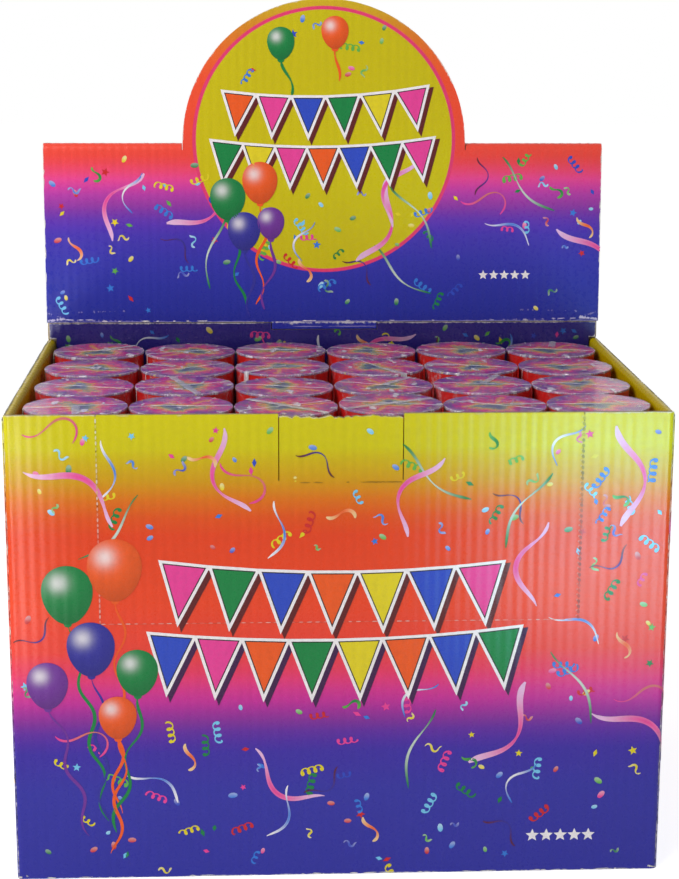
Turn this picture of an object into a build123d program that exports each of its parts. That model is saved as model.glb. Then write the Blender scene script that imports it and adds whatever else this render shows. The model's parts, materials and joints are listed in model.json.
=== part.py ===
"""Counter-display carton filled with twist poppers, its lid folded double and stood up as a header.

Millimetres. The origin is the middle of the carton's underside, +X to the right of the printed front,
+Y towards the back and +Z up. One popper of the front row is taken apart into all its pieces; the others
repeat its outer pieces.
"""

import os
from math import cos, radians, sin

from build123d import *

os.makedirs("parts", exist_ok=True)

# Corrugated board
board = 1.6
corner_radius = 1.5
fold_gap = 0.3
cut_gap = 0.3

# Paper tubes and labels of a popper
popper_length = 150.0
bore_dia = 29.0
tube_wall = 1.4
label_thick = 0.2
film_thick = 0.2
film_gap = 0.1
film_skirt = 30.0
disc_thick = 0.6
grip_length = 46.0
seam_gap = 0.4
glue_gap = 0.05
run_gap = 0.05
coupler_wall = 1.2
coupler_lip = 4.0
plug_flange = 1.6
plug_depth = 8.0
coupler_clear = 1.0

# Air cylinder and its valve
cradle_wall = 0.8
cradle_floor = 1.5
cradle_depth = 18.0
cradle_clear = 0.4
cylinder_body = 47.0
cylinder_wall = 0.8
shoulder_height = 6.0
neck_dia = 12.0
neck_wall = 1.5
neck_height = 8.0
cap_wall = 1.4
cap_skirt = 6.0
seat_thick = 4.0
guide_wall = 2.4
stem_dia = 3.0
stem_clear = 0.5
head_clear = 1.0
head_thick = 2.0
seal_section = 1.4
seal_gap = 0.1
bar_width = 3.0
bar_thick = 2.5
bar_lift = 1.0
bar_end_clear = 2.0

# Twist cam
twist_angle = 90.0
pin_travel = 3.0
cam_clear = 0.5
cam_gap = 0.7
cam_ring = 5.0
ramp_inset = 0.2
ramp_lead = 20.0

# Load of the popper
wad_thick = 3.0
wad_clear = 0.1
roll_height = 30.0
roll_core_dia = 2.0
roll_clear = 0.4
roll_gap = 0.2
load_gap = 0.2

# Carton
columns = 6
rows = 4
popper_gap = 0.5
side_slack = 1.3
front_slack = 0.9
back_slack = 0.6
top_drop = 0.5
tear_width = 152.0
tear_height = 67.5
lock_width = 38.5
lock_height = 21.2
lock_torn = 1.0
dust_flap_drop = 60.0
glue_tab_width = 28.0
bottom_seam = 0.6
bottom_seam_shift = 8.0

# Lid that stands up as the header
lean_angle = 3.5
crease_height = 6.7
header_height = 73.4
header_inset = 0.6
arch_radius = 52.6
notch_width = 39.5
notch_depth = 2.6
tuck_length = 32.0
tuck_taper = 6.0
tuck_side_gap = 0.6
tuck_gap = 1.5

# Radii of a popper, from its bore outwards
bore = bore_dia / 2
tube_radius = bore + tube_wall
label_inner = tube_radius + glue_gap
label_radius = label_inner + label_thick
film_inner = label_radius + film_gap
film_radius = film_inner + film_thick

# Radii of a popper, from its bore inwards
coupler_radius = bore - run_gap
coupler_inner = coupler_radius - coupler_wall
cradle_radius = coupler_inner - cradle_clear
cylinder_radius = cradle_radius - cradle_wall - glue_gap
neck_radius = neck_dia / 2
neck_inner = neck_radius - neck_wall
cap_inner = neck_radius + glue_gap
cap_radius = cap_inner + cap_wall
stem_radius = stem_dia / 2
cam_inner = cap_radius + cam_gap
cam_radius = coupler_inner - glue_gap

# Heights in a popper, above its underside
cylinder_low = plug_flange + cradle_floor
shoulder_low = cylinder_low + cylinder_body
neck_low = shoulder_low + shoulder_height
seat_low = neck_low + neck_height
seat_top = seat_low + seat_thick
bar_low = seat_top + bar_lift + pin_travel
bar_top = bar_low + bar_thick
ramp_low = bar_top + cam_clear
ramp_lead_rise = pin_travel * ramp_lead / twist_angle
cam_low = ramp_low + ramp_lead_rise + ramp_inset
cam_top = cam_low + cam_ring
coupler_low = plug_depth + coupler_clear
coupler_top = cam_top + coupler_lip
barrel_low = grip_length + seam_gap
disc_low = popper_length - film_thick - disc_thick
rolls_low = coupler_top + wad_thick
load_low = rolls_low + roll_height + load_gap

# Carton sizes, from the poppers that fill it
pitch = 2 * film_radius + popper_gap
doubled_wall = 2 * board + fold_gap
carton_width = columns * pitch - popper_gap + 2 * (side_slack + doubled_wall)
tuck_space = back_slack + board + tuck_gap
carton_depth = rows * pitch - popper_gap + 2 * board + front_slack + tuck_space
floor_top = 2 * board
carton_height = floor_top + popper_length + top_drop
half_width = carton_width / 2
half_depth = carton_depth / 2
fold_radius = doubled_wall / 2
first_x = -pitch * (columns - 1) / 2
first_y = -half_depth + board + front_slack + film_radius
front_face = Plane.XZ.offset(half_depth)

# Lid sizes, in the leaning plane of the header's printed face
lean = radians(lean_angle)
crease_y = half_depth - board - tuck_gap - board
crease_z = carton_height + crease_height
panel_height = header_height - crease_height
panel_half_width = half_width - header_inset
header_face = Plane(
    (0, crease_y, crease_z), x_dir=(1, 0, 0), z_dir=(0, -cos(lean), sin(lean))
)
lid_back_y = half_depth - crease_y
lid_rear = lid_back_y * cos(lean) + crease_height * sin(lean)
lid_base = lid_back_y * sin(lean) - crease_height * cos(lean)
lid_fold_radius = lid_rear / 2
lid_fold_inner = lid_fold_radius - board
straight_height = panel_height - lid_fold_radius


def popper_base(row, column):
    """Plane on the carton's floor under one popper; row 0 is the front row."""
    return Plane((first_x + column * pitch, first_y + row * pitch, floor_top))


def save(piece, name):
    """Labels a finished piece and writes it as a node of its own."""
    piece.label = name
    export_step(piece, f"parts/{name}.step")


def sleeve(base, inner, outer, low, high):
    """Round tube about the upright axis of a base plane."""
    with BuildPart() as tube:
        with BuildSketch(base.offset(low)):
            Circle(outer)
            Circle(inner, mode=Mode.SUBTRACT)
        extrude(amount=high - low)
    return tube.part


def disc(base, radius, low, high):
    """Round plate about the upright axis of a base plane."""
    with BuildPart() as plate:
        with BuildSketch(base.offset(low)):
            Circle(radius)
        extrude(amount=high - low)
    return plate.part


def turned(base, outline):
    """Solid of revolution about the upright axis of a base plane, from (radius, height) points."""
    with BuildPart() as shape:
        with BuildSketch(Plane(base.origin, x_dir=base.x_dir, z_dir=-base.y_dir)):
            with BuildLine():
                Polyline(*outline, close=True)
            make_face()
        revolve(axis=Axis(base.origin, base.z_dir))
    return shape.part


def film_cap(base):
    """Clear film shrunk over the mouth: a top skin and a skirt down the barrel."""
    low = popper_length - film_skirt
    top = popper_length - film_thick
    outline = [
        (0, top), (film_inner, top), (film_inner, low),
        (film_radius, low), (film_radius, popper_length), (0, popper_length),
    ]
    return turned(base, outline)


def end_plug(base):
    """Moulded plug that closes the grip: a flange under the tube and a skirt inside it."""
    skirt_inner = cradle_radius + glue_gap
    skirt_radius = bore - glue_gap
    outline = [
        (0, 0), (label_radius, 0), (label_radius, plug_flange), (skirt_radius, plug_flange),
        (skirt_radius, plug_depth), (skirt_inner, plug_depth), (skirt_inner, plug_flange), (0, plug_flange),
    ]
    return turned(base, outline)


def wall(outline, height):
    """Upright carton wall: the part of the rounded board ring inside a mitred plan outline."""
    with BuildPart() as panel:
        with BuildSketch():
            RectangleRounded(carton_width, carton_depth, corner_radius)
            Rectangle(carton_width - 2 * board, carton_depth - 2 * board, mode=Mode.SUBTRACT)
            with BuildLine():
                Polyline(*outline, close=True)
            make_face(mode=Mode.INTERSECT)
        extrude(amount=height)
    return panel.part


# Plan corners of the board ring, outer and inner
outer_corners = [
    (-half_width, -half_depth), (half_width, -half_depth), (half_width, half_depth), (-half_width, half_depth)
]
inner_corners = [
    (x - board * (1 if x > 0 else -1), y - board * (1 if y > 0 else -1)) for x, y in outer_corners
]


def wall_outline(start):
    """Mitred plan outline of the wall that runs from one corner to the next, counter-clockwise."""
    end = (start + 1) % 4
    return [outer_corners[start], outer_corners[end], inner_corners[end], inner_corners[start]]


# Front wall, with the window that the tear-out panel leaves
with BuildPart() as front_wall:
    add(wall(wall_outline(0), carton_height))
    with BuildSketch(front_face):
        with Locations((0, carton_height)):
            Rectangle(tear_width, tear_height, align=(Align.CENTER, Align.MAX))
    extrude(amount=-board, mode=Mode.SUBTRACT)
save(front_wall.part, "front_wall")

# Side walls stop under the rounded fold of their dust flaps
side_height = carton_height - fold_radius
save(wall(wall_outline(1), side_height), "right_wall")
save(wall(wall_outline(2), carton_height), "back_wall")
save(wall(wall_outline(3), side_height), "left_wall")

# Tear-out panel of the front, with the opening of its lock flap
with BuildPart() as tear_panel:
    with BuildSketch(front_face):
        with Locations((0, carton_height)):
            Rectangle(tear_width - 2 * cut_gap, tear_height - cut_gap, align=(Align.CENTER, Align.MAX))
            Rectangle(
                lock_width + 2 * cut_gap, lock_height, align=(Align.CENTER, Align.MAX), mode=Mode.SUBTRACT
            )
    extrude(amount=-board)
save(tear_panel.part, "tear_panel")

# Lock flap, creased along its lower edge and torn a little short at its top
with BuildPart() as lock_flap:
    with BuildSketch(front_face):
        with Locations((0, carton_height - lock_height)):
            Rectangle(lock_width, lock_height - lock_torn, align=(Align.CENTER, Align.MIN))
    extrude(amount=-board)
save(lock_flap.part, "lock_flap")

# Dust flaps, folded right over the side walls and down inside them
fold_x = half_width - fold_radius
flap_front = half_depth - board - cut_gap
with BuildPart() as left_dust_flap:
    with BuildSketch(Plane((-fold_x, -flap_front, side_height), x_dir=(1, 0, 0), z_dir=(0, -1, 0))):
        Circle(fold_radius)
        Circle(fold_gap / 2, mode=Mode.SUBTRACT)
        Rectangle(2 * fold_radius, fold_radius, align=(Align.CENTER, Align.MAX), mode=Mode.SUBTRACT)
        with Locations((fold_radius, 0)):
            Rectangle(board, dust_flap_drop, align=(Align.MAX, Align.MAX))
    extrude(amount=-2 * flap_front)
save(left_dust_flap.part, "left_dust_flap")

with BuildPart() as right_dust_flap:
    mirror(left_dust_flap.part, about=Plane.YZ)
save(right_dust_flap.part, "right_dust_flap")

# Glue tab of the carton's upright seam, on the inside of the right wall below the dust flap
glue_tab_top = side_height - dust_flap_drop - cut_gap
with BuildPart() as glue_tab:
    with BuildSketch(Plane.XY.offset(floor_top)):
        with Locations((half_width - board, half_depth - board)):
            Rectangle(board, glue_tab_width, align=(Align.MAX, Align.MAX))
    extrude(amount=glue_tab_top - floor_top)
save(glue_tab.part, "glue_tab")

# Bottom flaps: the outer pair meets along X, its front flap the longer, and the inner pair along Y
inner_width = carton_width - 2 * board
inner_depth = carton_depth - 2 * board
with BuildPart() as bottom_outer_flaps:
    with BuildSketch():
        Rectangle(inner_width, inner_depth)
        with Locations((0, bottom_seam_shift)):
            Rectangle(inner_width, bottom_seam, mode=Mode.SUBTRACT)
    extrude(amount=board)
save(bottom_outer_flaps.part, "bottom_outer_flaps")

with BuildPart() as bottom_inner_flaps:
    with BuildSketch(Plane.XY.offset(board)):
        Rectangle(inner_width, inner_depth)
        Rectangle(bottom_seam, inner_depth, mode=Mode.SUBTRACT)
    extrude(amount=board)
save(bottom_inner_flaps.part, "bottom_inner_flaps")

# Printed front of the header: lower panel, half-round arch and the two rounded top folds
with BuildPart() as header_front_panel:
    with BuildSketch(header_face):
        Rectangle(2 * panel_half_width, straight_height, align=(Align.CENTER, Align.MIN))
        with Locations((0, straight_height)):
            Rectangle(2 * arch_radius, lid_fold_radius, align=(Align.CENTER, Align.MIN))
        with Locations((0, panel_height)):
            Circle(arch_radius)
        Rectangle(notch_width, notch_depth, align=(Align.CENTER, Align.MAX))
    extrude(amount=-board)
    fold_ends = header_face.offset(-lid_fold_radius)
    fold_start = fold_ends.origin + fold_ends.y_dir * straight_height - fold_ends.x_dir * panel_half_width
    with BuildSketch(Plane(fold_start, x_dir=header_face.z_dir, z_dir=header_face.x_dir)):
        Circle(lid_fold_radius)
        Circle(lid_fold_inner, mode=Mode.SUBTRACT)
        Rectangle(2 * lid_fold_radius, lid_fold_radius, align=(Align.CENTER, Align.MIN), mode=Mode.SUBTRACT)
    extrude(amount=panel_half_width - arch_radius - cut_gap)
    fold_start = fold_start + header_face.x_dir * (panel_half_width + arch_radius + cut_gap)
    with BuildSketch(Plane(fold_start, x_dir=header_face.z_dir, z_dir=header_face.x_dir)):
        Circle(lid_fold_radius)
        Circle(lid_fold_inner, mode=Mode.SUBTRACT)
        Rectangle(2 * lid_fold_radius, lid_fold_radius, align=(Align.CENTER, Align.MIN), mode=Mode.SUBTRACT)
    extrude(amount=panel_half_width - arch_radius - cut_gap)
save(header_front_panel.part, "header_front_panel")

# Back half of the lid, creased on the back wall, with the hole that the arch came out of
lid_face = header_face.offset(-lid_rear)
with BuildPart() as lid_back_panel:
    with BuildSketch(lid_face):
        with Locations((0, lid_base)):
            Rectangle(2 * panel_half_width, straight_height - lid_base, align=(Align.CENTER, Align.MIN))
        with Locations((0, panel_height)):
            Circle(arch_radius + cut_gap, mode=Mode.SUBTRACT)
    extrude(amount=board)
save(lid_back_panel.part, "lid_back_panel")

# Tuck flap, pushed down behind the back row, with the notch cut in its crease
tuck_half_width = half_width - doubled_wall - tuck_side_gap
tuck_top = crease_z - cut_gap
tuck_low = crease_z - tuck_length
notch_half = notch_width / 2 + cut_gap
notch_low = crease_z - notch_depth - cut_gap
tuck_half_outline = [
    (0, notch_low), (notch_half, notch_low), (notch_half, tuck_top), (tuck_half_width, tuck_top),
    (tuck_half_width, tuck_low + tuck_taper), (tuck_half_width - tuck_taper, tuck_low), (0, tuck_low),
]
with BuildPart() as lid_tuck_flap:
    with BuildSketch(Plane.XZ.offset(-crease_y)):
        with BuildLine():
            Polyline(*tuck_half_outline, close=True)
        make_face()
        mirror(about=Plane.YZ)
    extrude(amount=-board)
save(lid_tuck_flap.part, "lid_tuck_flap")

# Popper that is taken apart into all its pieces
sample_row = 0
sample_column = 3
sample = popper_base(sample_row, sample_column)
save(sleeve(sample, bore, tube_radius, barrel_low, disc_low), "barrel_tube")
save(sleeve(sample, label_inner, label_radius, barrel_low, disc_low), "barrel_label")
save(disc(sample, label_radius, disc_low, disc_low + disc_thick), "top_disc")
save(film_cap(sample), "shrink_film")
save(sleeve(sample, coupler_inner, coupler_radius, coupler_low, coupler_top), "coupler_sleeve")
save(sleeve(sample, bore, tube_radius, plug_flange, grip_length), "grip_tube")
save(sleeve(sample, label_inner, label_radius, plug_flange, grip_length), "grip_label")
save(end_plug(sample), "base_plug")

# Cradle that holds the foot of the air cylinder in the grip
cradle_inner = cylinder_radius + glue_gap
cradle_outline = [
    (0, plug_flange), (cradle_radius, plug_flange), (cradle_radius, cradle_depth),
    (cradle_inner, cradle_depth), (cradle_inner, cylinder_low), (0, cylinder_low),
]
save(turned(sample, cradle_outline), "cylinder_cradle")

# Air cylinder: drawn bottle with a sloped shoulder and a neck
cylinder_inner = cylinder_radius - cylinder_wall
cylinder_outline = [
    (0, cylinder_low), (cylinder_radius, cylinder_low), (cylinder_radius, shoulder_low),
    (neck_radius, neck_low), (neck_radius, seat_low), (neck_inner, seat_low),
    (neck_inner, neck_low), (cylinder_inner, shoulder_low),
    (cylinder_inner, cylinder_low + cylinder_wall), (0, cylinder_low + cylinder_wall),
]
save(turned(sample, cylinder_outline), "air_cylinder")

# Valve body: cap over the neck, seat under the stem bore and a slotted guide for the bar
stem_bore = stem_radius + stem_clear
guide_inner = cap_radius - guide_wall
valve_outline = [
    (cap_inner, seat_low - cap_skirt), (cap_radius, seat_low - cap_skirt), (cap_radius, bar_top),
    (guide_inner, bar_top), (guide_inner, seat_top), (stem_bore, seat_top),
    (stem_bore, seat_low), (cap_inner, seat_low),
]
with BuildPart() as valve_body:
    add(turned(sample, valve_outline))
    with BuildSketch(sample.offset(seat_top)):
        Rectangle(2 * cap_radius, bar_width + 2 * run_gap)
    extrude(amount=bar_top - seat_top, mode=Mode.SUBTRACT)
save(valve_body.part, "valve_body")

# Valve pin: sealing head under the seat, stem, and the cross bar that the cam presses down
seal_low = seat_low - seal_gap - seal_section
head_top = seal_low - glue_gap
bar_length = 2 * (coupler_inner - bar_end_clear)
with BuildPart() as valve_pin:
    with BuildSketch(sample.offset(head_top - head_thick)):
        Circle(neck_inner - head_clear)
    extrude(amount=head_thick)
    with BuildSketch(sample.offset(head_top)):
        Circle(stem_radius)
    extrude(amount=bar_low - head_top)
    with BuildSketch(sample.offset(bar_low)):
        Rectangle(bar_length, bar_width)
    extrude(amount=bar_thick)
save(valve_pin.part, "valve_pin")

# Rubber seal round the stem, under the seat
with BuildPart() as valve_seal:
    with BuildSketch(Plane(sample.origin, x_dir=sample.x_dir, z_dir=-sample.y_dir)):
        with Locations((stem_radius + glue_gap + seal_section / 2, seal_low + seal_section / 2)):
            Circle(seal_section / 2)
    revolve(axis=Axis(sample.origin, sample.z_dir))
save(valve_seal.part, "valve_seal")

# Cam collar: ring with two helical ramps underneath, which drop by the pin's travel over the twist
ramp_span = twist_angle + 2 * ramp_lead
ramp_drop = pin_travel * ramp_span / twist_angle
ramp_end = ramp_low + ramp_lead_rise - ramp_drop
ramp_pitch = 360 * pin_travel / twist_angle
ramp_radius = (cam_inner + cam_radius) / 2
ramp_width = cam_radius - cam_inner - 2 * ramp_inset
ramp_height = cam_low + ramp_inset - ramp_end
ramp_plane = sample.offset(ramp_end)
sample_axis = Axis(sample.origin, sample.z_dir)
with BuildPart() as ramp:
    with BuildLine(ramp_plane) as ramp_path:
        Helix(ramp_pitch, ramp_drop, ramp_radius, lefthand=True)
    ramp_section = ramp_plane.from_local_coords((ramp_radius, 0, 0))
    with BuildSketch(Plane(ramp_section, x_dir=ramp_plane.x_dir, z_dir=-ramp_plane.y_dir)):
        Rectangle(ramp_width, ramp_height, align=(Align.CENTER, Align.MIN))
    sweep(path=ramp_path.line, is_frenet=True)

with BuildPart() as cam_collar:
    with BuildSketch(sample.offset(cam_low)):
        Circle(cam_radius)
        Circle(cam_inner, mode=Mode.SUBTRACT)
    extrude(amount=cam_top - cam_low)
    for half_turn in (0, 180):
        add(ramp.part.rotate(sample_axis, twist_angle + ramp_lead + half_turn))
save(cam_collar.part, "cam_collar")

# Load: wad, rolled streamers and loose confetti
save(disc(sample, bore - wad_clear, coupler_top, rolls_low), "wad_disc")
roll_pitch = (2 * bore - roll_clear) / 3
roll_radius = (roll_pitch - roll_gap) / 2
with BuildPart() as streamer_rolls:
    with BuildSketch(sample.offset(rolls_low)):
        with Locations((0, 0)):
            Circle(roll_radius)
            Circle(roll_core_dia / 2, mode=Mode.SUBTRACT)
        with PolarLocations(roll_pitch, 6):
            Circle(roll_radius)
            Circle(roll_core_dia / 2, mode=Mode.SUBTRACT)
    extrude(amount=roll_height)
save(streamer_rolls.part, "streamer_rolls")
save(disc(sample, bore - roll_clear, load_low, disc_low - load_gap), "confetti_load")

# All other poppers: outer pieces, coupler and plug, each a solid of its own
for row in range(rows):
    for column in range(columns):
        if (row, column) == (sample_row, sample_column):
            continue
        base = popper_base(row, column)
        pieces = [
            sleeve(base, bore, label_radius, barrel_low, disc_low),
            disc(base, label_radius, disc_low, disc_low + disc_thick),
            film_cap(base),
            sleeve(base, coupler_inner, coupler_radius, coupler_low, coupler_top),
            sleeve(base, bore, label_radius, plug_flange, grip_length),
            end_plug(base),
        ]
        save(Compound(children=pieces), f"popper_r{row + 1}c{column + 1}")

print("carton", carton_width, carton_depth, carton_height, "popper pitch", pitch)
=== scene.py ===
"""Looks of the filled display carton: board, print, poppers and their load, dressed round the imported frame.

Arrays are in millimetres, in the frame's own axes: X to the right of the printed front, Y to the back, Z up.
Meshes are in metres.
"""

import json

import bmesh
import bpy
import numpy as np
from mathutils import Matrix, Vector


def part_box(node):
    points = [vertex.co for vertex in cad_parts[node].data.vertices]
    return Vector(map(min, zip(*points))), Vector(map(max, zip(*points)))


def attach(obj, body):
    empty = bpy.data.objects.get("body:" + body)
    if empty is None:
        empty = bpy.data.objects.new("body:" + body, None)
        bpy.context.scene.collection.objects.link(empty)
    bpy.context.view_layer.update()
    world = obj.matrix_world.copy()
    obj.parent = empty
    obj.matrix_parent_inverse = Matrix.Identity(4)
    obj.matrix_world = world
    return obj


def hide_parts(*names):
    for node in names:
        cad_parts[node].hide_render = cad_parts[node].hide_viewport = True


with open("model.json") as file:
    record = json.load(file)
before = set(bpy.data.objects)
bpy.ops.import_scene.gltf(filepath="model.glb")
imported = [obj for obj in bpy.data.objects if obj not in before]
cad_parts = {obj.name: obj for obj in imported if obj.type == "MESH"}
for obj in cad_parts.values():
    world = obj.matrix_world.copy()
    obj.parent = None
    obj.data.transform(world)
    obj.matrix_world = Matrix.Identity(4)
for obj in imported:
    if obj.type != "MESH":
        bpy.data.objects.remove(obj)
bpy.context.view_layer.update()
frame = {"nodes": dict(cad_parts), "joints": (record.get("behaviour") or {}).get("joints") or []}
chance = np.random.default_rng(24)
turn = 2 * np.pi
quarter = np.pi / 2
metre = 0.001


def heading_of(angle):
    """Unit direction at an angle: its cosine and its sine."""
    return np.stack([np.cos(angle), np.sin(angle)], -1)


def node_box(name):
    """Lowest and highest corner of a CAD node, in millimetres."""
    low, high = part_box(name)
    return np.array(low) / metre, np.array(high) / metre


def joint_place(name):
    """Point on a joint's axis, in millimetres."""
    return np.array(next(joint["pos_m"] for joint in frame["joints"] if joint["name"] == name)) / metre


def paint(red, green, blue):
    """Linear colour of a print colour given in 0 to 255."""
    share = np.array([red, green, blue]) / 255
    linear = np.where(share <= 0.04045, share / 12.92, ((share + 0.055) / 1.055) ** 2.4)
    return (*linear.tolist(), 1.0)


# Carton sizes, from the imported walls
cut_gap = 0.3
corner_radius = 2.0
front_low, front_high = node_box("front_wall")
side_top = node_box("left_wall")[1][2]
half_width = node_box("right_wall")[1][0]
half_depth = -front_low[1]
carton_height = front_high[2]
tear_low, tear_high = node_box("tear_panel")
lock_low, lock_high = node_box("lock_flap")
lock_half = lock_high[0] + cut_gap
tuck_low, tuck_high = node_box("lid_tuck_flap")
window_half = tear_high[0] + cut_gap
window_low = tear_low[2] - cut_gap

# Corrugated board
board_thick = 1.6
liner = 0.25
medium_thick = 0.2
glue_film = 0.01
flute_pitch = 3.3
flute_step = flute_pitch / 8
flute_height = board_thick / 2 - liner - medium_thick / 2 - glue_film
flute_marks = np.arange(-300, 300)
flute_sags = chance.uniform(0.03, 0.08, flute_marks.size)
wear_width = 1.2
near_edge = 0.5
inner_sag = 0.6
hair = 0.01
column_slack = 1e-6

# Header, in its leaning plane: distances up from the crease
crease = joint_place("header_fold")[1:]
lean = np.radians(3.5)
panel_half = node_box("header_front_panel")[1][0]
panel_height = 66.7
fold_radius = 2.55
straight_height = panel_height - fold_radius
arch_radius = 52.6
hole_radius = 52.9
arch_split = (arch_radius + hole_radius) / 2
disc_height = 67.7
disc_radius = 47.6
ring_radius = 48.9
notch_half = 19.75
notch_depth = 2.6
lid_length = straight_height + 6.4

# Poppers
popper_floor = node_box("popper_r1c1")[0][2]
bore = 14.5
label_inner = 15.95
label_radius = 16.15
label_lap = 0.12
label_edge = 0.15
film_radius = 16.6
skirt_radius = 16.38
rim_round = 0.4
film_thick = 0.08
flare_low, flare_high = 5.0, 0.8
disc_gap = 0.12
disc_dish = 0.12
plug_flange = 1.6
plug_depth = 8.0
plug_inner = 13.0
plug_round = 15.7
plug_slack = 0.05
grip_top = 46.0
barrel_low = 46.4
barrel_top = 149.2
disc_top = 149.8
film_top = 150.0
film_low = 120.0
round_columns = 57

# Ink film on the board
ink_lift = 0.03
ink_layer = 0.012
ink_step = 0.7
ink_creep = 1e-3

# Layers of ink, from the strewn bits up to the worn edges and the dashes of painted shade
bit_layer, ribbon_layer, star_layer, cut_layer = 2, 2.6, 4, 5
knot_layer, balloon_layer, wear_and_shade_layer = 8, 10, 10

# Welds in metres, and the angle from which an edge is sharp
weld_gap = 1e-6
sharp_angle = 0.6

# Slots of a board piece, and of a popper
print_slot, plain_slot, raw_slot = 0, 1, 2
label_slot, grip_slot, plug_slot, edge_slot, disc_slot, skirt_slot, cap_slot, seam_slot, rim_fold_and_highlight_slot = range(9)


class Path:
    """Flat line of straight runs and arcs, looked up by the distance along it.

    Each run is a length and a turn. The heading rises evenly over a run, and the points are the running sum
    of its chords. The face is on the line's left where side is 1, and on its right where side is -1.
    """

    parts = 16

    def __init__(self, start, heading, runs, side):
        """Sums the chords of all runs from a start and a first heading."""
        lengths = np.repeat([length for length, _ in runs], self.parts) / self.parts
        turns = np.repeat([angle for _, angle in runs], self.parts) / self.parts
        self.headings = heading + np.concatenate([[0], np.cumsum(turns)])
        middle = self.headings[:-1] + turns / 2
        chords = lengths * np.sinc(turns / turn)
        steps = chords[:, None] * heading_of(middle)
        self.points = np.array(start) + np.vstack([[0, 0], np.cumsum(steps, 0)])
        self.reach = np.concatenate([[0], np.cumsum(lengths)])
        self.length = self.reach[-1]
        self.side = side

    def at(self, reach, depth):
        """Point at a distance along the line, and a depth under its face."""
        heading = np.interp(reach, self.reach, self.headings)
        first = np.interp(reach, self.reach, self.points[:, 0]) + self.side * depth * np.sin(heading)
        second = np.interp(reach, self.reach, self.points[:, 1]) - self.side * depth * np.cos(heading)
        return first, second


class Shell:
    """Collects grids of points into one mesh, with a slot, an ink colour and a print coordinate for each."""

    def __init__(self):
        """Starts with nothing in it."""
        self.points, self.faces, self.slots, self.inks, self.prints = [], [], [], [], []
        self.count = 0

    def add(self, points, faces, slot, ink=(0, 0, 0, 1), uv=(0, 0)):
        """Adds loose points and the quads between them."""
        size = len(points)
        self.points.append(points)
        self.faces.append(faces + self.count)
        self.slots.append(np.broadcast_to(slot, len(faces)))
        self.inks.append(np.broadcast_to(ink, (size, 4)))
        self.prints.append(np.broadcast_to(uv, (size, 2)))
        self.count += size

    def grid(self, points, slot=0, ink=(0, 0, 0, 1), uv=(0, 0)):
        """Adds an (n, m) grid of points; a quad's first side runs along n and its second along m."""
        n, m = points.shape[:2]
        index = np.arange(n * m).reshape(n, m)
        quads = np.stack([index[:-1, :-1], index[1:, :-1], index[1:, 1:], index[:-1, 1:]], -1).reshape(-1, 4)
        slots = np.broadcast_to(slot, (n - 1, m - 1)).reshape(-1)
        inks = np.broadcast_to(ink, (n, m, 4)).reshape(-1, 4)
        uvs = np.broadcast_to(uv, (n, m, 2)).reshape(-1, 2)
        self.add(points.reshape(-1, 3), quads, slots, inks, uvs)

    def spots(self):
        """Print coordinates of the middle of every quad, in the order they were added."""
        return np.concatenate(self.prints)[np.concatenate(self.faces)].mean(1).T

    def piece(self, name, body, slot, finishes, stands_for=(), kept=None):
        """Makes the object, welds its seams and poles, and sets it on its body."""
        faces, slots = np.concatenate(self.faces), np.concatenate(self.slots)
        if kept is not None:
            faces, slots = faces[kept], slots[kept]
        used, corners = np.unique(faces, return_inverse=True)
        faces = corners.reshape(-1, 4)
        mesh = bpy.data.meshes.new(name)
        mesh.from_pydata((np.concatenate(self.points)[used] * metre).tolist(), [], faces.tolist())
        mesh.polygons.foreach_set("material_index", slots.astype(np.int32))
        mesh.polygons.foreach_set("use_smooth", np.ones(len(faces), bool))
        ink = mesh.color_attributes.new("ink", "FLOAT_COLOR", "POINT")
        ink.data.foreach_set("color", np.concatenate(self.inks)[used].astype(np.float32).ravel())
        uvs = mesh.uv_layers.new(name="print")
        uvs.data.foreach_set("uv", np.concatenate(self.prints)[used][faces].astype(np.float32).ravel())
        working = bmesh.new()
        working.from_mesh(mesh)
        bmesh.ops.remove_doubles(working, verts=working.verts, dist=weld_gap)
        working.to_mesh(mesh)
        working.free()
        mesh.set_sharp_from_angle(angle=sharp_angle)
        for finish in finishes:
            mesh.materials.append(finish)
        made = bpy.data.objects.new(name, mesh)
        bpy.context.scene.collection.objects.link(made)
        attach(made, body)
        if stands_for:
            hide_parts(*stands_for)
        return made


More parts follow.
